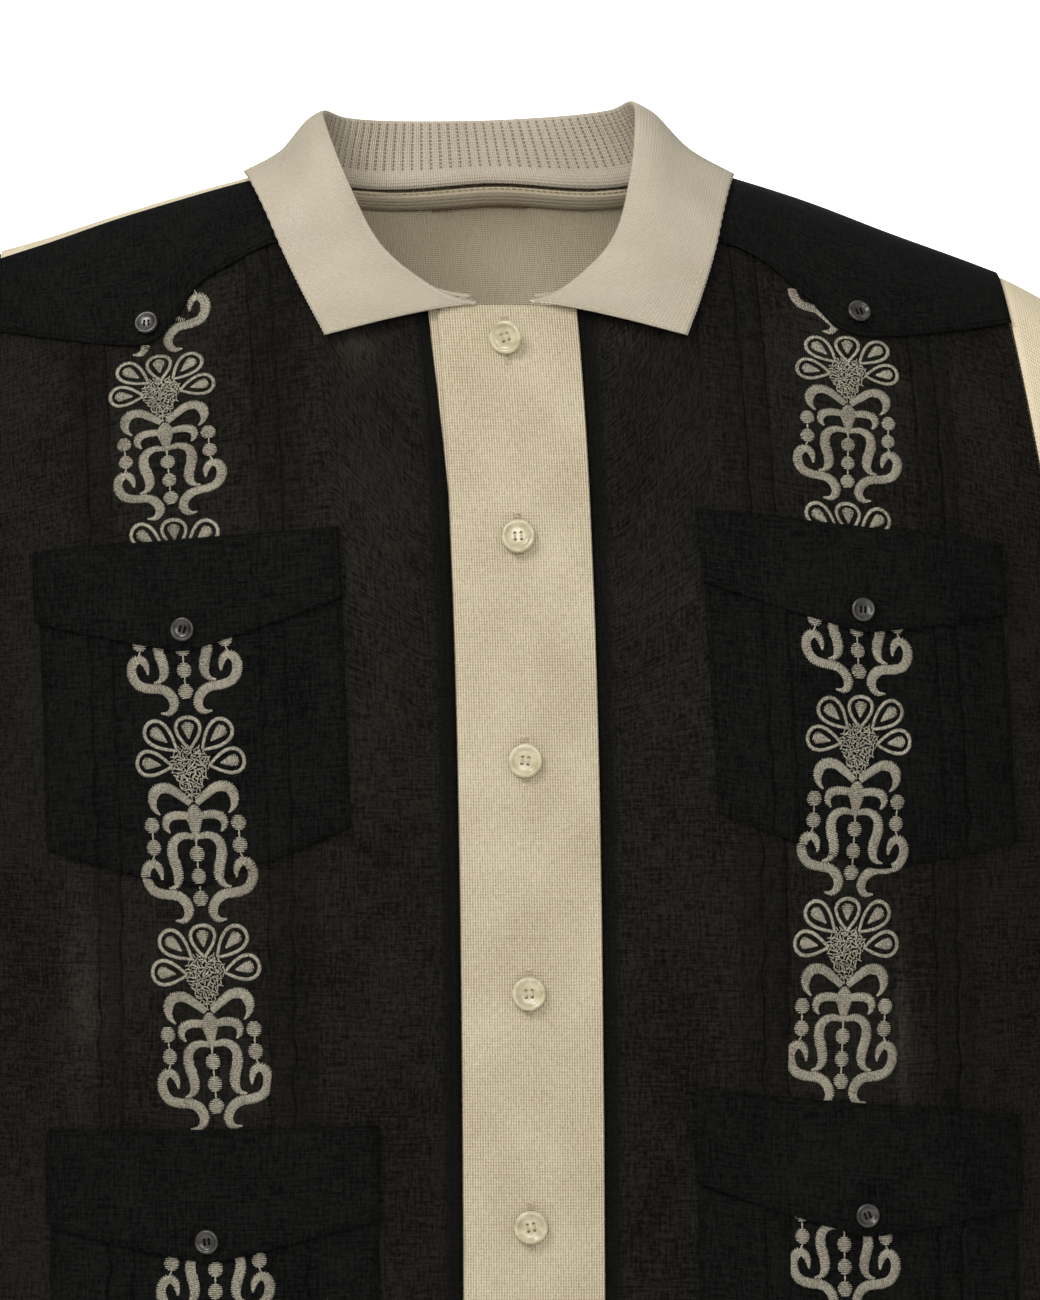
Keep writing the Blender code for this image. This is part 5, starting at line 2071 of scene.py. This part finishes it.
@dataclass
class Buttons:
    """Turned buttons with four holes, sewn on with thread."""

    form: BodyForm
    wardrobe: Wardrobe
    ivory: ButtonPlan = ButtonPlan(0.00635, 0.0026, 0.00062, 0.00165, "ivory_button")
    horn: ButtonPlan = ButtonPlan(0.0045, 0.0022, 0.00050, 0.00120, "dark_button")
    cream_rows: list[Array] = field(default_factory=list)
    dark_rows: list[Array] = field(default_factory=list)

    def turned(self, plan: ButtonPlan) -> Any:
        """Builds one button's mesh at the origin, with its holes cut through.

        Args:
            plan: The button's sizes.

        Returns:
            The mesh.
        """
        radius, depth = plan.radius, plan.depth
        profile = [
            (0.0, depth * 0.55), (radius * 0.30, depth * 0.54), (radius * 0.55, depth * 0.58),
            (radius * 0.66, depth * 0.68), (radius * 0.73, depth * 0.86), (radius * 0.80, depth * 0.97),
            (radius * 0.87, depth), (radius * 0.94, depth * 0.93), (radius * 0.985, depth * 0.78),
            (radius, depth * 0.58), (radius * 0.97, depth * 0.34), (radius * 0.86, depth * 0.10),
            (radius * 0.70, 0.0), (0.0, 0.0),
        ]
        count = 40
        form = bmesh.new()
        rings = []
        for reach, height in profile:
            if reach == 0:
                rings.append([form.verts.new((0, 0, height))])
                continue
            turns = [FULL_TURN * k / count for k in range(count)]
            rings.append([form.verts.new((reach * math.cos(turn), reach * math.sin(turn), height))
                          for turn in turns])
        for upper, lower in zip(rings, rings[1:]):
            for k in range(count):
                after = (k + 1) % count
                if len(upper) == 1:
                    form.faces.new((upper[0], lower[k], lower[after]))
                elif len(lower) == 1:
                    form.faces.new((upper[k], lower[0], upper[after]))
                else:
                    form.faces.new((upper[k], lower[k], lower[after], upper[after]))
        bmesh.ops.recalc_face_normals(form, faces=form.faces)
        mesh = bpy.data.meshes.new("button")
        form.to_mesh(mesh)
        form.free()
        body = link(bpy.data.objects.new("button", mesh))
        drill_form = bmesh.new()
        for k in range(4):
            turn = FULL_TURN * (k + 0.5) / 4
            place = Matrix.Translation((plan.hole_out * math.cos(turn), plan.hole_out * math.sin(turn),
                                        depth / 2))
            bmesh.ops.create_cone(drill_form, cap_ends=True, segments=14, radius1=plan.hole,
                                  radius2=plan.hole, depth=depth * 3, matrix=place)
        drill_mesh = bpy.data.meshes.new("drill")
        drill_form.to_mesh(drill_mesh)
        drill_form.free()
        drill = link(bpy.data.objects.new("drill", drill_mesh))
        cut = body.modifiers.new("holes", "BOOLEAN")
        cut.operation = "DIFFERENCE"
        cut.solver = "EXACT"
        cut.object = drill
        applied(body)
        bpy.data.objects.remove(drill)
        bpy.data.meshes.remove(drill_mesh)
        result = body.data
        bpy.data.objects.remove(body)
        return result

    def place(self, name: str, node: str, plan: ButtonPlan, mesh: Any, at: tuple[float, float], lift: float,
              turn: float, tilt: float, swing: float = 0.0) -> Any:
        """Puts one button on its cloth.

        Args:
            name: The piece's name.
            node: The CAD node that it stands for.
            plan: Its sizes.
            mesh: The button's mesh.
            at: s and d.
            lift: How far out its back lies.
            turn: Turn about its middle in degrees.
            tilt: Tilt forward at the top in degrees.
            swing: Turn of the tilt's axis in degrees.

        Returns:
            The piece.
        """
        middle = Vector(self.form.cloth(*at, lift))
        normal = Vector(self.form.cloth(*at, lift + 0.01)) - middle
        stand = (Matrix.Translation(middle) @ normal.to_track_quat("Z", "Y").to_matrix().to_4x4()
                 @ Matrix.Rotation(math.radians(swing), 4, "Z") @ Matrix.Rotation(math.radians(tilt), 4, "X")
                 @ Matrix.Rotation(math.radians(turn - swing), 4, "Z"))
        own = mesh.copy()
        own.name = name
        own.transform(stand)
        own.materials.clear()
        own.materials.append(self.wardrobe.ivory if plan is self.ivory else self.wardrobe.horn)
        own.shade_smooth()
        own.set_sharp_from_angle(angle=math.radians(50))
        rows = self.cream_rows if plan is self.ivory else self.dark_rows
        out = plan.hole_out * math.cos(math.pi / 4)
        top = plan.depth * 0.55
        for side in (-1, 1):
            for shift in (-0.00022, 0.00022):
                x = side * out + shift
                bridge = [(x, -out, -0.0008), (x, -out, top - 0.0004), (x, -out * 0.8, top + 0.00015),
                          (x, out * 0.8, top + 0.00015), (x, out, top - 0.0004), (x, out, -0.0008)]
                rows.append(np.array([stand @ Vector(point) for point in bridge]))
        return dress(link(bpy.data.objects.new(name, own)), [node])

    def build(self, placket: Placket, pockets: Sequence[Pocket], yokes: Sequence[Yoke]) -> list[Any]:
        """Builds every button and its thread.

        Args:
            placket: The button strip.
            pockets: The pockets, whose flaps carry a button each.
            yokes: The yokes, which carry a button each.

        Returns:
            The pieces.
        """
        pieces = []
        mesh = self.turned(self.ivory)
        leans = ((16, 30, -35), (4, -3, 0), (-7, 2, 0), (3, -2, 0), (10, 3, 0), (-4, 2, 0), (6, -3, 0))
        for number, (z, (turn, tilt, swing)) in enumerate(zip(placket.button_heights, leans), 1):
            raised = 0.0011 + max(0, abs(tilt) - 10) * 0.0001
            lift = float(placket.lift_at(np.zeros(1), np.array([z]))[0]) + placket.wall / 2 + raised
            at = (0.0, float(self.form.along_to(0.0, z)))
            pieces.append(self.place(f"ivory_button_{number}", f"button_front_{number}", self.ivory, mesh,
                                     at, lift, turn, tilt, swing))
        mesh = self.turned(self.horn)
        for k, pocket in enumerate(pockets):
            plan = pocket.plan
            down = plan.flap_point - 0.0088
            s, d = plan.place(self.form, 0.0, down)
            lift = float(pocket.flap_lift_at(0.0, down)) + 0.0010
            pieces.append(self.place(f"dark_button_{plan.name}", f"button_flap_{plan.name}", self.horn, mesh,
                                     (float(s), float(d)), lift, 12 * k - 15, 2 - k))
        for yoke, (out, z) in zip(yokes, ((0.1350, -0.0672), (0.1335, -0.0632))):
            s = yoke.side.value * out
            at = (s, float(self.form.along_to(s, z)))
            label = yoke.side.label
            pieces.append(self.place(f"dark_button_yoke_{label}", f"button_yoke_{label}", self.horn, mesh,
                                     at, yoke.lift + 0.0010, 8, 2))
        return pieces


@dataclass(frozen=True)
class Stroke:
    """One stroke of satin stitch.

    Attributes:
        path: Rows of across, down and half width, in millimetres from the top of the ornament.
        crown: Its height in the middle.
        paired: Whether it is worked again on the other side.
    """

    path: tuple[tuple[float, float, float], ...]
    crown: float = 0.55
    paired: bool = True

    def mirrored(self) -> "Stroke":
        """Gives the stroke on the other side."""
        return Stroke(tuple((-x, y, half) for x, y, half in self.path), self.crown, self.paired)


ORNAMENT_STROKES = (
    Stroke(((-1.0, 30.4, 1.1), (-4.6, 27.4, 1.5), (-9.2, 24.6, 1.75), (-13.2, 25.2, 1.95), (-14.9, 28.8, 1.7),
            (-14.2, 32.0, 0.9), (-12.4, 34.0, 0.2))),
    Stroke(((-2.2, 34.6, 1.3), (-6.4, 34.2, 1.5), (-9.8, 35.2, 1.6), (-10.7, 37.9, 1.2), (-9.2, 40.4, 0.2))),
    Stroke(((-0.7, 41.9, 0.9), (-4.9, 41.4, 1.3), (-8.3, 43.6, 1.7), (-8.9, 48.1, 1.9), (-7.6, 52.8, 1.9),
            (-7.4, 56.6, 1.6), (-8.8, 58.9, 0.9), (-11.4, 59.6, 0.2))),
    Stroke(((-13.3, 56.6, 0.25), (-13.6, 54.0, 1.0), (-14.6, 51.6, 1.4), (-16.6, 50.6, 1.6),
            (-18.8, 52.4, 1.75), (-19.2, 56.4, 1.8), (-17.0, 60.2, 1.75), (-12.8, 61.6, 1.7),
            (-8.4, 62.1, 1.75), (-5.3, 64.6, 1.8), (-4.3, 68.0, 1.7), (-6.0, 70.8, 1.1), (-9.4, 70.8, 0.2))),
    Stroke(((0.0, 30.6, 0.7), (0.0, 32.6, 2.3), (0.0, 35.0, 3.0), (0.0, 37.6, 2.4), (0.0, 40.6, 1.3),
            (0.0, 44.0, 0.25)), 0.7, False),
)
PETALS = (((0.0, 11.4), (0.0, 0.3), 4.9), ((-4.6, 11.8), (-14.9, 2.6), 4.7),
          ((-6.8, 17.2), (-19.4, 15.2), 4.7))
BEADS = ((-15.7, 37.4, True), (-15.6, 45.2, True), (0.0, 47.8, False), (0.0, 55.6, False), (0.0, 63.4, False))
LINKS = (((-15.7, 39.9), (-15.6, 42.6), True), ((-15.6, 47.8), (-16.2, 49.6), True),
         ((0.0, 43.6), (0.0, 45.4), False), ((0.0, 50.4), (0.0, 53.0), False),
         ((0.0, 58.2), (0.0, 60.8), False))
HEAD_WIDTH = ((10.2, 1.6), (11.2, 3.9), (12.8, 5.7), (14.8, 6.6), (17.2, 6.7), (20.2, 5.8), (23.6, 4.2),
              (27.0, 2.4), (29.6, 0.8))


@dataclass
class Ornament:
    """One ornament of the embroidered band, worked flat in millimetres."""

    pitch: float = 0.64
    seed: int = 3

    def __post_init__(self) -> None:
        """Works every thread and underlay row."""
        self.chance = np.random.default_rng(self.seed)
        self.threads: list[Array] = []
        self.underlays: list[Array] = []
        self.links: list[Array] = []
        for stroke in ORNAMENT_STROKES:
            self.satin(stroke)
            if stroke.paired:
                self.satin(stroke.mirrored())
        for tip, end, half in PETALS:
            sides = (1,) if tip[0] == 0 else (1, -1)
            for side in sides:
                self.petal((side * tip[0], tip[1]), (side * end[0], end[1]), half)
        for x, y, paired in BEADS:
            for side in ((1, -1) if paired else (1,)):
                self.bead(side * x, y)
        for first, last, paired in LINKS:
            for side in ((1, -1) if paired else (1,)):
                for shift in (-0.22, 0.22):
                    middle = (side * (first[0] + last[0]) / 2 - shift, (first[1] + last[1]) / 2, 0.3)
                    self.links.append(np.array([(side * first[0] + shift, first[1], 0.15), middle,
                                                (side * last[0] + shift, last[1], 0.15)]))
        self.head()

    def satin(self, stroke: Stroke, closed: bool = False) -> None:
        """Works a stroke in satin stitch.

        Args:
            stroke: The stroke.
            closed: Whether its path ends where it starts.
        """
        path = np.array(stroke.path)
        keys = path_lengths(path[:, :2])
        dense = smooth_through(path, keys, np.linspace(0, keys[-1], 160))
        length = path_lengths(dense[:, :2])
        count = max(4, round(length[-1] / self.pitch))
        at = (np.arange(count) + 0.5) / count * length[-1]
        read = np.stack([np.interp(at, length, dense[:, k]) for k in range(3)], axis=1)
        way = np.stack([np.gradient(dense[:, 0], length), np.gradient(dense[:, 1], length)], axis=1)
        way = np.stack([np.interp(at, length, way[:, k]) for k in range(2)], axis=1)
        way = unit(way)
        across = np.stack([-way[:, 1], way[:, 0]], axis=1)
        half = np.maximum(read[:, 2], 0.12) * (1 + self.chance.uniform(-0.07, 0.04, count))
        slant = self.chance.uniform(-0.10, 0.10, count)
        height = stroke.crown * np.clip(half / 1.1, 0.45, 1)
        for k in range(count):
            row = []
            for reach, share in ((-1.0, 0.12), (-0.5, 0.86), (0.5, 0.86), (1.0, 0.12)):
                spot = read[k, :2] + across[k] * half[k] * reach + way[k] * slant[k] * reach
                row.append((spot[0], spot[1], height[k] * share))
            self.threads.append(np.array(row))
        under = max(3, round(length[-1] / 1.7))
        at = np.linspace(0.15, length[-1] - 0.15, under)
        read = np.stack([np.interp(at, length, dense[:, k]) for k in range(3)], axis=1)
        way = np.gradient(read[:, :2], axis=0)
        way = unit(way)
        across = np.stack([-way[:, 1], way[:, 0]], axis=1)
        rings = []
        for reach, share in ((-0.88, 0.0), (-0.5, 0.42), (0.5, 0.42), (0.88, 0.0), (0.0, -0.15)):
            spot = read[:, :2] + across * (np.maximum(read[:, 2], 0.12) * reach)[:, None]
            rings.append(np.column_stack([spot, np.full(under, stroke.crown * share)]))
        self.underlays.append(np.stack(rings, axis=1))

    def petal(self, tip: tuple[float, float], end: tuple[float, float], half: float) -> None:
        """Works a teardrop petal: a satin outline and a filled core.

        Args:
            tip: Its pointed end.
            end: Its round end.
            half: Half its width.
        """
        axis = np.array(end) - np.array(tip)
        across = np.array([-axis[1], axis[0]]) / np.linalg.norm(axis)
        turn = np.linspace(0.12, FULL_TURN - 0.12, 26)
        along = (1 - np.cos(turn)) / 2
        wide = np.sin(turn) * np.abs(np.sin(turn / 2)) ** 1.1 * 1.34
        outline = np.array(tip) + along[:, None] * axis + wide[:, None] * across * (half - 0.55)
        width = 0.38 + 0.26 * np.sin(turn / 2) ** 0.8
        self.satin(Stroke(tuple((x, y, w) for (x, y), w in zip(outline, width)), 0.45))
        inner = [(0.32, 0.15), (0.43, 0.7), (0.56, 1.3), (0.69, 1.75), (0.79, 1.5), (0.85, 0.4)]
        spots = [np.array(tip) + axis * share for share, _ in inner]
        core = tuple((spot[0], spot[1], w * half / 4.1) for spot, (_, w) in zip(spots, inner))
        self.satin(Stroke(core, 0.5))

    def bead(self, x: float, y: float) -> None:
        """Works a round bead of satin stitch."""
        rows = [(x, y - 2.75 * math.cos(turn), 2.65 * math.sin(turn))
                for turn in np.linspace(0.25, math.pi - 0.25, 9)]
        self.satin(Stroke(tuple(rows), 0.8))

    def head(self) -> None:
        """Works the rough oval head with short stitches that cross each other."""
        table = np.array(HEAD_WIDTH)
        for y in np.arange(11.0, 29.6, 1.05):
            half = float(np.interp(y, table[:, 0], table[:, 1]))
            for x in np.arange(-half, half + 0.01, 1.1):
                turn = self.chance.uniform(0, math.pi)
                away = np.array([math.cos(turn), math.sin(turn)]) * self.chance.uniform(0.7, 1.2)
                spot = np.array([x, y]) + self.chance.uniform(-0.3, 0.3, 2)
                rise = self.chance.uniform(0.25, 0.60)
                self.links.append(np.array([(*(spot - away), 0.1), (*spot, rise), (*(spot + away), 0.1)]))


BAND_PLANS = {
    Side.LEFT: {
        "tops": (-0.0784, -0.1401, -0.2138, -0.2910, -0.3680),
        "tilts": (-0.12, -0.145, -0.06, -0.04, -0.075, -0.05),
        "centre": ((-0.0600, -0.1328), (-0.0784, -0.1320), (-0.1310, -0.1295), (-0.2030, -0.1258),
                   (-0.2138, -0.1256), (-0.2790, -0.1218), (-0.2910, -0.1216), (-0.3570, -0.1166),
                   (-0.7200, -0.1190)),
        "full_width": 1.05,
    },
    Side.RIGHT: {
        "tops": (-0.0713, -0.1340, -0.2062, -0.2811, -0.3588),
        "tilts": (0.07, 0.07, 0.09, 0.05, 0.015, 0.03),
        "centre": ((-0.0600, 0.1290), (-0.0717, 0.1287), (-0.1243, 0.1247), (-0.1340, 0.1239),
                   (-0.1960, 0.1248), (-0.2064, 0.1255), (-0.2710, 0.1207), (-0.2811, 0.1193),
                   (-0.3480, 0.1155), (-0.7200, 0.1190)),
        "full_width": 1.0,
    },
}


@dataclass
class Band:
    """The embroidered band down one front, over the panel and its pockets."""

    form: BodyForm
    side: Side
    pockets: Sequence[Pocket]
    shop: NodeShop
    finish: Any
    shaded_padding: Any
    yoke: Yoke
    ornament: Ornament
    tops: tuple[float, ...]
    tilts: tuple[float, ...]
    centre: tuple[tuple[float, float], ...]
    full_width: float
    full_pitch: float = 72.4
    next_step: float = 0.0768

    def place(self, points: Array, top: float, scale: float, tilt: float) -> Array:
        """Lays flat points on the cloth.

        Args:
            points: Threads, points and millimetres across, down and up.
            top: Distance down the cloth of the ornament's top.
            scale: Stretch along the band.
            tilt: How much lower the ornament's right side lies.

        Returns:
            Points in space.
        """
        x, y = points[..., 0] * MM * self.full_width, points[..., 1] * MM * scale
        rise = points[..., 2] * MM
        down = top + y
        z = self.form.bare(np.full(down.shape, self.side.value * BAND_OUT), down)[..., 2] - tilt * x
        s = np.interp(z, [row[0] for row in self.centre], [row[1] for row in self.centre]) + x
        d = self.form.along_to(s, z)
        middle_s = s.mean(axis=-1, keepdims=True)
        middle_z = z.mean(axis=-1, keepdims=True)
        lift = np.full(s.shape, PANEL_TOP)
        for pocket in self.pockets:
            on, _, _ = pocket.covers(middle_s, middle_z)
            _, across, down = pocket.covers(s, z)
            lift = np.where(on, pocket.lift_at(across, down) + PANEL_TOP, lift)
        return self.form.cloth(s, d, lift + rise)

    def build(self) -> list[Any]:
        """Builds the band in an upper and a lower piece.

        Returns:
            The pieces.
        """
        form = self.form
        self.centre = tuple(sorted(self.centre))
        tops = [float(form.along_to(self.side.value * BAND_OUT, z)) for z in self.tops]
        tops.insert(0, tops[0] - self.next_step)
        while tops[-1] + self.next_step < float(form.along_to(self.side.value * BAND_OUT, form.hem_z + 0.03)):
            tops.append(tops[-1] + self.next_step)
        threads, links = np.array(self.ornament.threads), np.array(self.ornament.links)
        rows, fine, parts = ({"upper": [], "lower": []} for _ in range(3))
        for number, top in enumerate(tops):
            following = tops[number + 1] if number + 1 < len(tops) else top + self.next_step
            scale = (following - top) / (self.full_pitch * MM)
            tilt = self.tilts[min(number, len(self.tilts) - 1)]
            half = "upper" if number < 4 else "lower"
            placed = self.place(threads, top, scale, tilt)
            rows[half].extend(placed[self.shows(placed)])
            placed = self.place(links, top, scale, tilt)
            fine[half].extend(placed[self.shows(placed)])
            for under in self.ornament.underlays:
                spots = self.place(under, top, scale, tilt)
                kept = self.shows(spots)
                if kept.sum() > 2:
                    parts[half].append(spots[kept])
        pieces = []
        label = self.side.label
        for half in ("upper", "lower"):
            satin = self.shop.threads("satin", rows[half], 0.00022, self.finish, 4)
            lattice = self.shop.threads("lattice", fine[half], 0.00021, self.finish, 4)
            under = self.underlay(parts[half])
            pieces.append(dress(merged(f"embroidery_{label}_{half}", [satin, lattice, under])))
        return pieces

    def shows(self, rows: Array) -> Array:
        """Finds the threads between the yoke's edge and the shirt's hem."""
        middle = rows.mean(axis=1)
        s = (middle[:, 0] - self.form.lean_at(middle[:, 2]))
        s = np.copysign(np.interp(np.abs(s), self.form.section_x, self.form.section_s), s)
        return (middle[:, 2] > self.form.hem_z + 0.022) & (middle[:, 2] < self.yoke.edge_height(s) + 0.0004)

    def underlay(self, parts: Sequence[Array]) -> Any:
        """Makes the low underlay under the satin stitch, as closed bars, in a dark finish that is painted
        shade between the satin threads.

        Args:
            parts: Rows of rings of points.

        Returns:
            The piece.
        """
        points: list[Any] = []
        faces: list[Any] = []
        for rings in parts:
            start = len(points)
            count, around = rings.shape[:2]
            points.extend(rings.reshape(-1, 3).tolist())
            for k in range(count - 1):
                for j in range(around):
                    after = (j + 1) % around
                    low = start + k * around
                    faces.append((low + j, low + after, low + around + after, low + around + j))
            faces.append(tuple(start + j for j in range(around))[::-1])
            faces.append(tuple(start + (count - 1) * around + j for j in range(around)))
        mesh = bpy.data.meshes.new("underlay")
        mesh.from_pydata(points, [], faces)
        form = bmesh.new()
        form.from_mesh(mesh)
        bmesh.ops.recalc_face_normals(form, faces=form.faces)
        form.to_mesh(mesh)
        form.free()
        # Its dark finish is painted shade between the satin threads.
        mesh.materials.append(self.shaded_padding)
        return link(bpy.data.objects.new("underlay", mesh))


def area_light(name: str, place: tuple[float, float, float], size: float, power: float,
               aim: tuple[float, float, float]) -> None:
    """Adds a soft square light.

    Args:
        name: Its name.
        place: Where it stands.
        size: Its width.
        power: Its power in watts.
        aim: What it points at.
    """
    data = bpy.data.lights.new(name, "AREA")
    data.size = size
    data.energy = power
    light = link(bpy.data.objects.new(name, data))
    light.location = place
    light.rotation_euler = (Vector(aim) - Vector(place)).to_track_quat("-Z", "Y").to_euler()


@dataclass
class Studio:
    """The pale studio, its lights and the camera of the photograph."""

    camera_place: tuple[float, float, float] = (0.0130, -2.306, -0.189)
    distance: float = 2.2
    metres_per_pixel: float = 0.00037
    picture_height: int = 1300
    floor_z: float = -0.80

    def build(self) -> None:
        """Builds the floor and backdrop, lights and camera."""
        white = Plain("studio_white", (0.93, 0.93, 0.93, 1.0), 0.95).make()
        side = 8.0
        back = 4.4
        bend = 0.8
        rows = [(-6.0, self.floor_z)]
        rows += [(back - bend + bend * math.sin(turn), self.floor_z + bend - bend * math.cos(turn))
                 for turn in np.linspace(0, math.pi / 2, 14)]
        rows.append((back, 5.0))
        points = [(x, y, z) for y, z in rows for x in (-side, side)]
        faces = [(2 * k, 2 * k + 1, 2 * k + 3, 2 * k + 2) for k in range(len(rows) - 1)]
        mesh = bpy.data.meshes.new("studio_sweep")
        mesh.from_pydata(points, [], faces)
        mesh.materials.append(white)
        mesh.shade_smooth()
        link(bpy.data.objects.new("studio_sweep", mesh))
        bpy.context.scene.view_settings.view_transform = "Standard"
        world = bpy.data.worlds.new("studio")
        bpy.context.scene.world = world
        world.use_nodes = True
        world.node_tree.nodes["Background"].inputs["Color"].default_value = (1.0, 1.0, 1.0, 1.0)
        world.node_tree.nodes["Background"].inputs["Strength"].default_value = 0.40
        area_light("key", (-0.8, -1.25, 0.95), 0.7, 17, (0.0, -0.05, -0.05))
        area_light("front", (0.05, -2.3, 0.35), 1.0, 17, (0.0, 0.0, -0.05))
        area_light("fill", (1.5, -1.8, 0.5), 1.4, 3, (0.0, 0.0, -0.25))
        area_light("top", (0.0, 0.2, 1.9), 1.4, 8, (0.0, 0.0, 0.0))
        area_light("backdrop_left", (-1.4, back - 1.2, 1.0), 1.4, 60, (-0.4, back, 0.1))
        area_light("backdrop_right", (1.4, back - 1.2, 1.0), 1.4, 60, (0.4, back, 0.1))
        camera_data = bpy.data.cameras.new("camera")
        camera_data.sensor_fit = "AUTO"
        camera_data.sensor_width = 36.0
        camera_data.lens = 36.0 * self.distance / (self.picture_height * self.metres_per_pixel)
        camera = link(bpy.data.objects.new("camera", camera_data))
        camera.location = self.camera_place
        camera.rotation_euler = (math.pi / 2, 0, 0)
        bpy.context.scene.camera = camera


@dataclass
class Shirt:
    """The whole shirt."""

    wardrobe: Wardrobe
    shop: NodeShop

    def __post_init__(self) -> None:
        """Makes the form and its parts."""
        self.form = BodyForm(folds={
            Face.FRONT: HANGING_FRONT + FRONT_CREASES + (Ripple(0.0005),),
            Face.BACK: HANGING_BACK + BACK_CREASES + (Ripple(0.0008),),
        })
        self.pockets = [Pocket(self.form, plan, self.wardrobe.doubled) for plan in POCKETS]
        self.yokes = [Yoke(self.form, Side.LEFT, self.wardrobe.doubled, lower=0.0032, raised=0.0085),
                      Yoke(self.form, Side.RIGHT, self.wardrobe.doubled)]
        self.placket = Placket(self.form, self.wardrobe.placket)
        self.collar = Collar(self.form, self.wardrobe.collar, self.wardrobe.tape)
        self.sleeves = [Sleeve(self.form, side, self.wardrobe.jersey) for side in Side]

    def build_cloth(self) -> None:
        """Builds every piece of cloth."""
        for side in Side:
            panel = FrontPanel(self.form, side, self.wardrobe.single).build()
        back = Back(self.form, self.wardrobe.jersey).build()
        self.collar.build_tape()
        for yoke in self.yokes:
            yoke.build()
            f"front_{yoke.side.label}_cloth"
        for pocket in self.pockets:
            plan = pocket.plan
            carrier = f"front_{plan.side.label}_cloth"
            pocket.build()
            pocket.build_flap()
        self.placket.build_under()
        self.placket.build_top()
        self.collar.build()
        for sleeve in self.sleeves:
            sleeve.build()

    def build_bands(self) -> None:
        """Builds the two embroidered bands."""
        ornament = Ornament()
        for yoke in self.yokes:
            pockets = [pocket for pocket in self.pockets if pocket.plan.side is yoke.side]
            Band(self.form, yoke.side, pockets, self.shop, self.wardrobe.satin, self.wardrobe.shaded_padding, yoke,
                 ornament, **BAND_PLANS[yoke.side]).build()

    def build_stitching(self) -> None:
        """Builds the seams' and edges' stitching."""
        black = [self.placket.seam_row(side, 0.0037) for side in Side]
        black += [yoke.stitch_row(0.0017) for yoke in self.yokes]
        for pocket in self.pockets:
            black += [pocket.flap_stitch_row(0.0019), pocket.flap_top_row(0.0016),
                      pocket.edge_stitch_row(0.0015)]
        dress(self.shop.stitches("black_topstitch", black, 0.0024, 0.0021, 0.00021,
                                 self.wardrobe.black_thread))
        cream = [self.collar.back_row(0.0000, -0.0006), self.collar.leaf_row(0.955, 10, 350),
                 self.collar.end_row(6.0, 2.0), self.collar.end_row(354.0, 2.0)]
        cream.extend(sleeve.hem_row() for sleeve in self.sleeves)
        dress(self.shop.stitches("cream_topstitch", cream, 0.0024, 0.0020, 0.00020,
                                 self.wardrobe.cream_thread))
        dress(self.shop.threads("buttonhole_thread", self.placket.buttonhole_rows(), 0.00022,
                                self.wardrobe.cream_thread))
        dress(self.shop.stitches("back_neck_line", [self.collar.back_row(-0.0058, -0.0020, 174, 192.2)],
                                 0.0011, 0.0011, 0.00045, self.wardrobe.brown_thread))

    def build_buttons(self) -> None:
        """Builds the buttons and the thread that holds them."""
        buttons = Buttons(self.form, self.wardrobe)
        buttons.build(self.placket, self.pockets, self.yokes)
        dress(self.shop.threads("front_button_thread", buttons.cream_rows, 0.00022,
                                self.wardrobe.cream_thread, 5))
        dress(self.shop.threads("dark_button_thread", buttons.dark_rows, 0.00018,
                                self.wardrobe.black_thread, 5))


def main() -> None:
    """Builds the shirt's looks and the studio."""
    logging.basicConfig(level=logging.INFO, format="%(name)s %(message)s")
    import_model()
    shirt = Shirt(Wardrobe().fill(), NodeShop())
    shirt.build_cloth()
    shirt.build_bands()
    shirt.build_stitching()
    shirt.build_buttons()
    Studio().build()


if __name__ == "__main__":
    main()
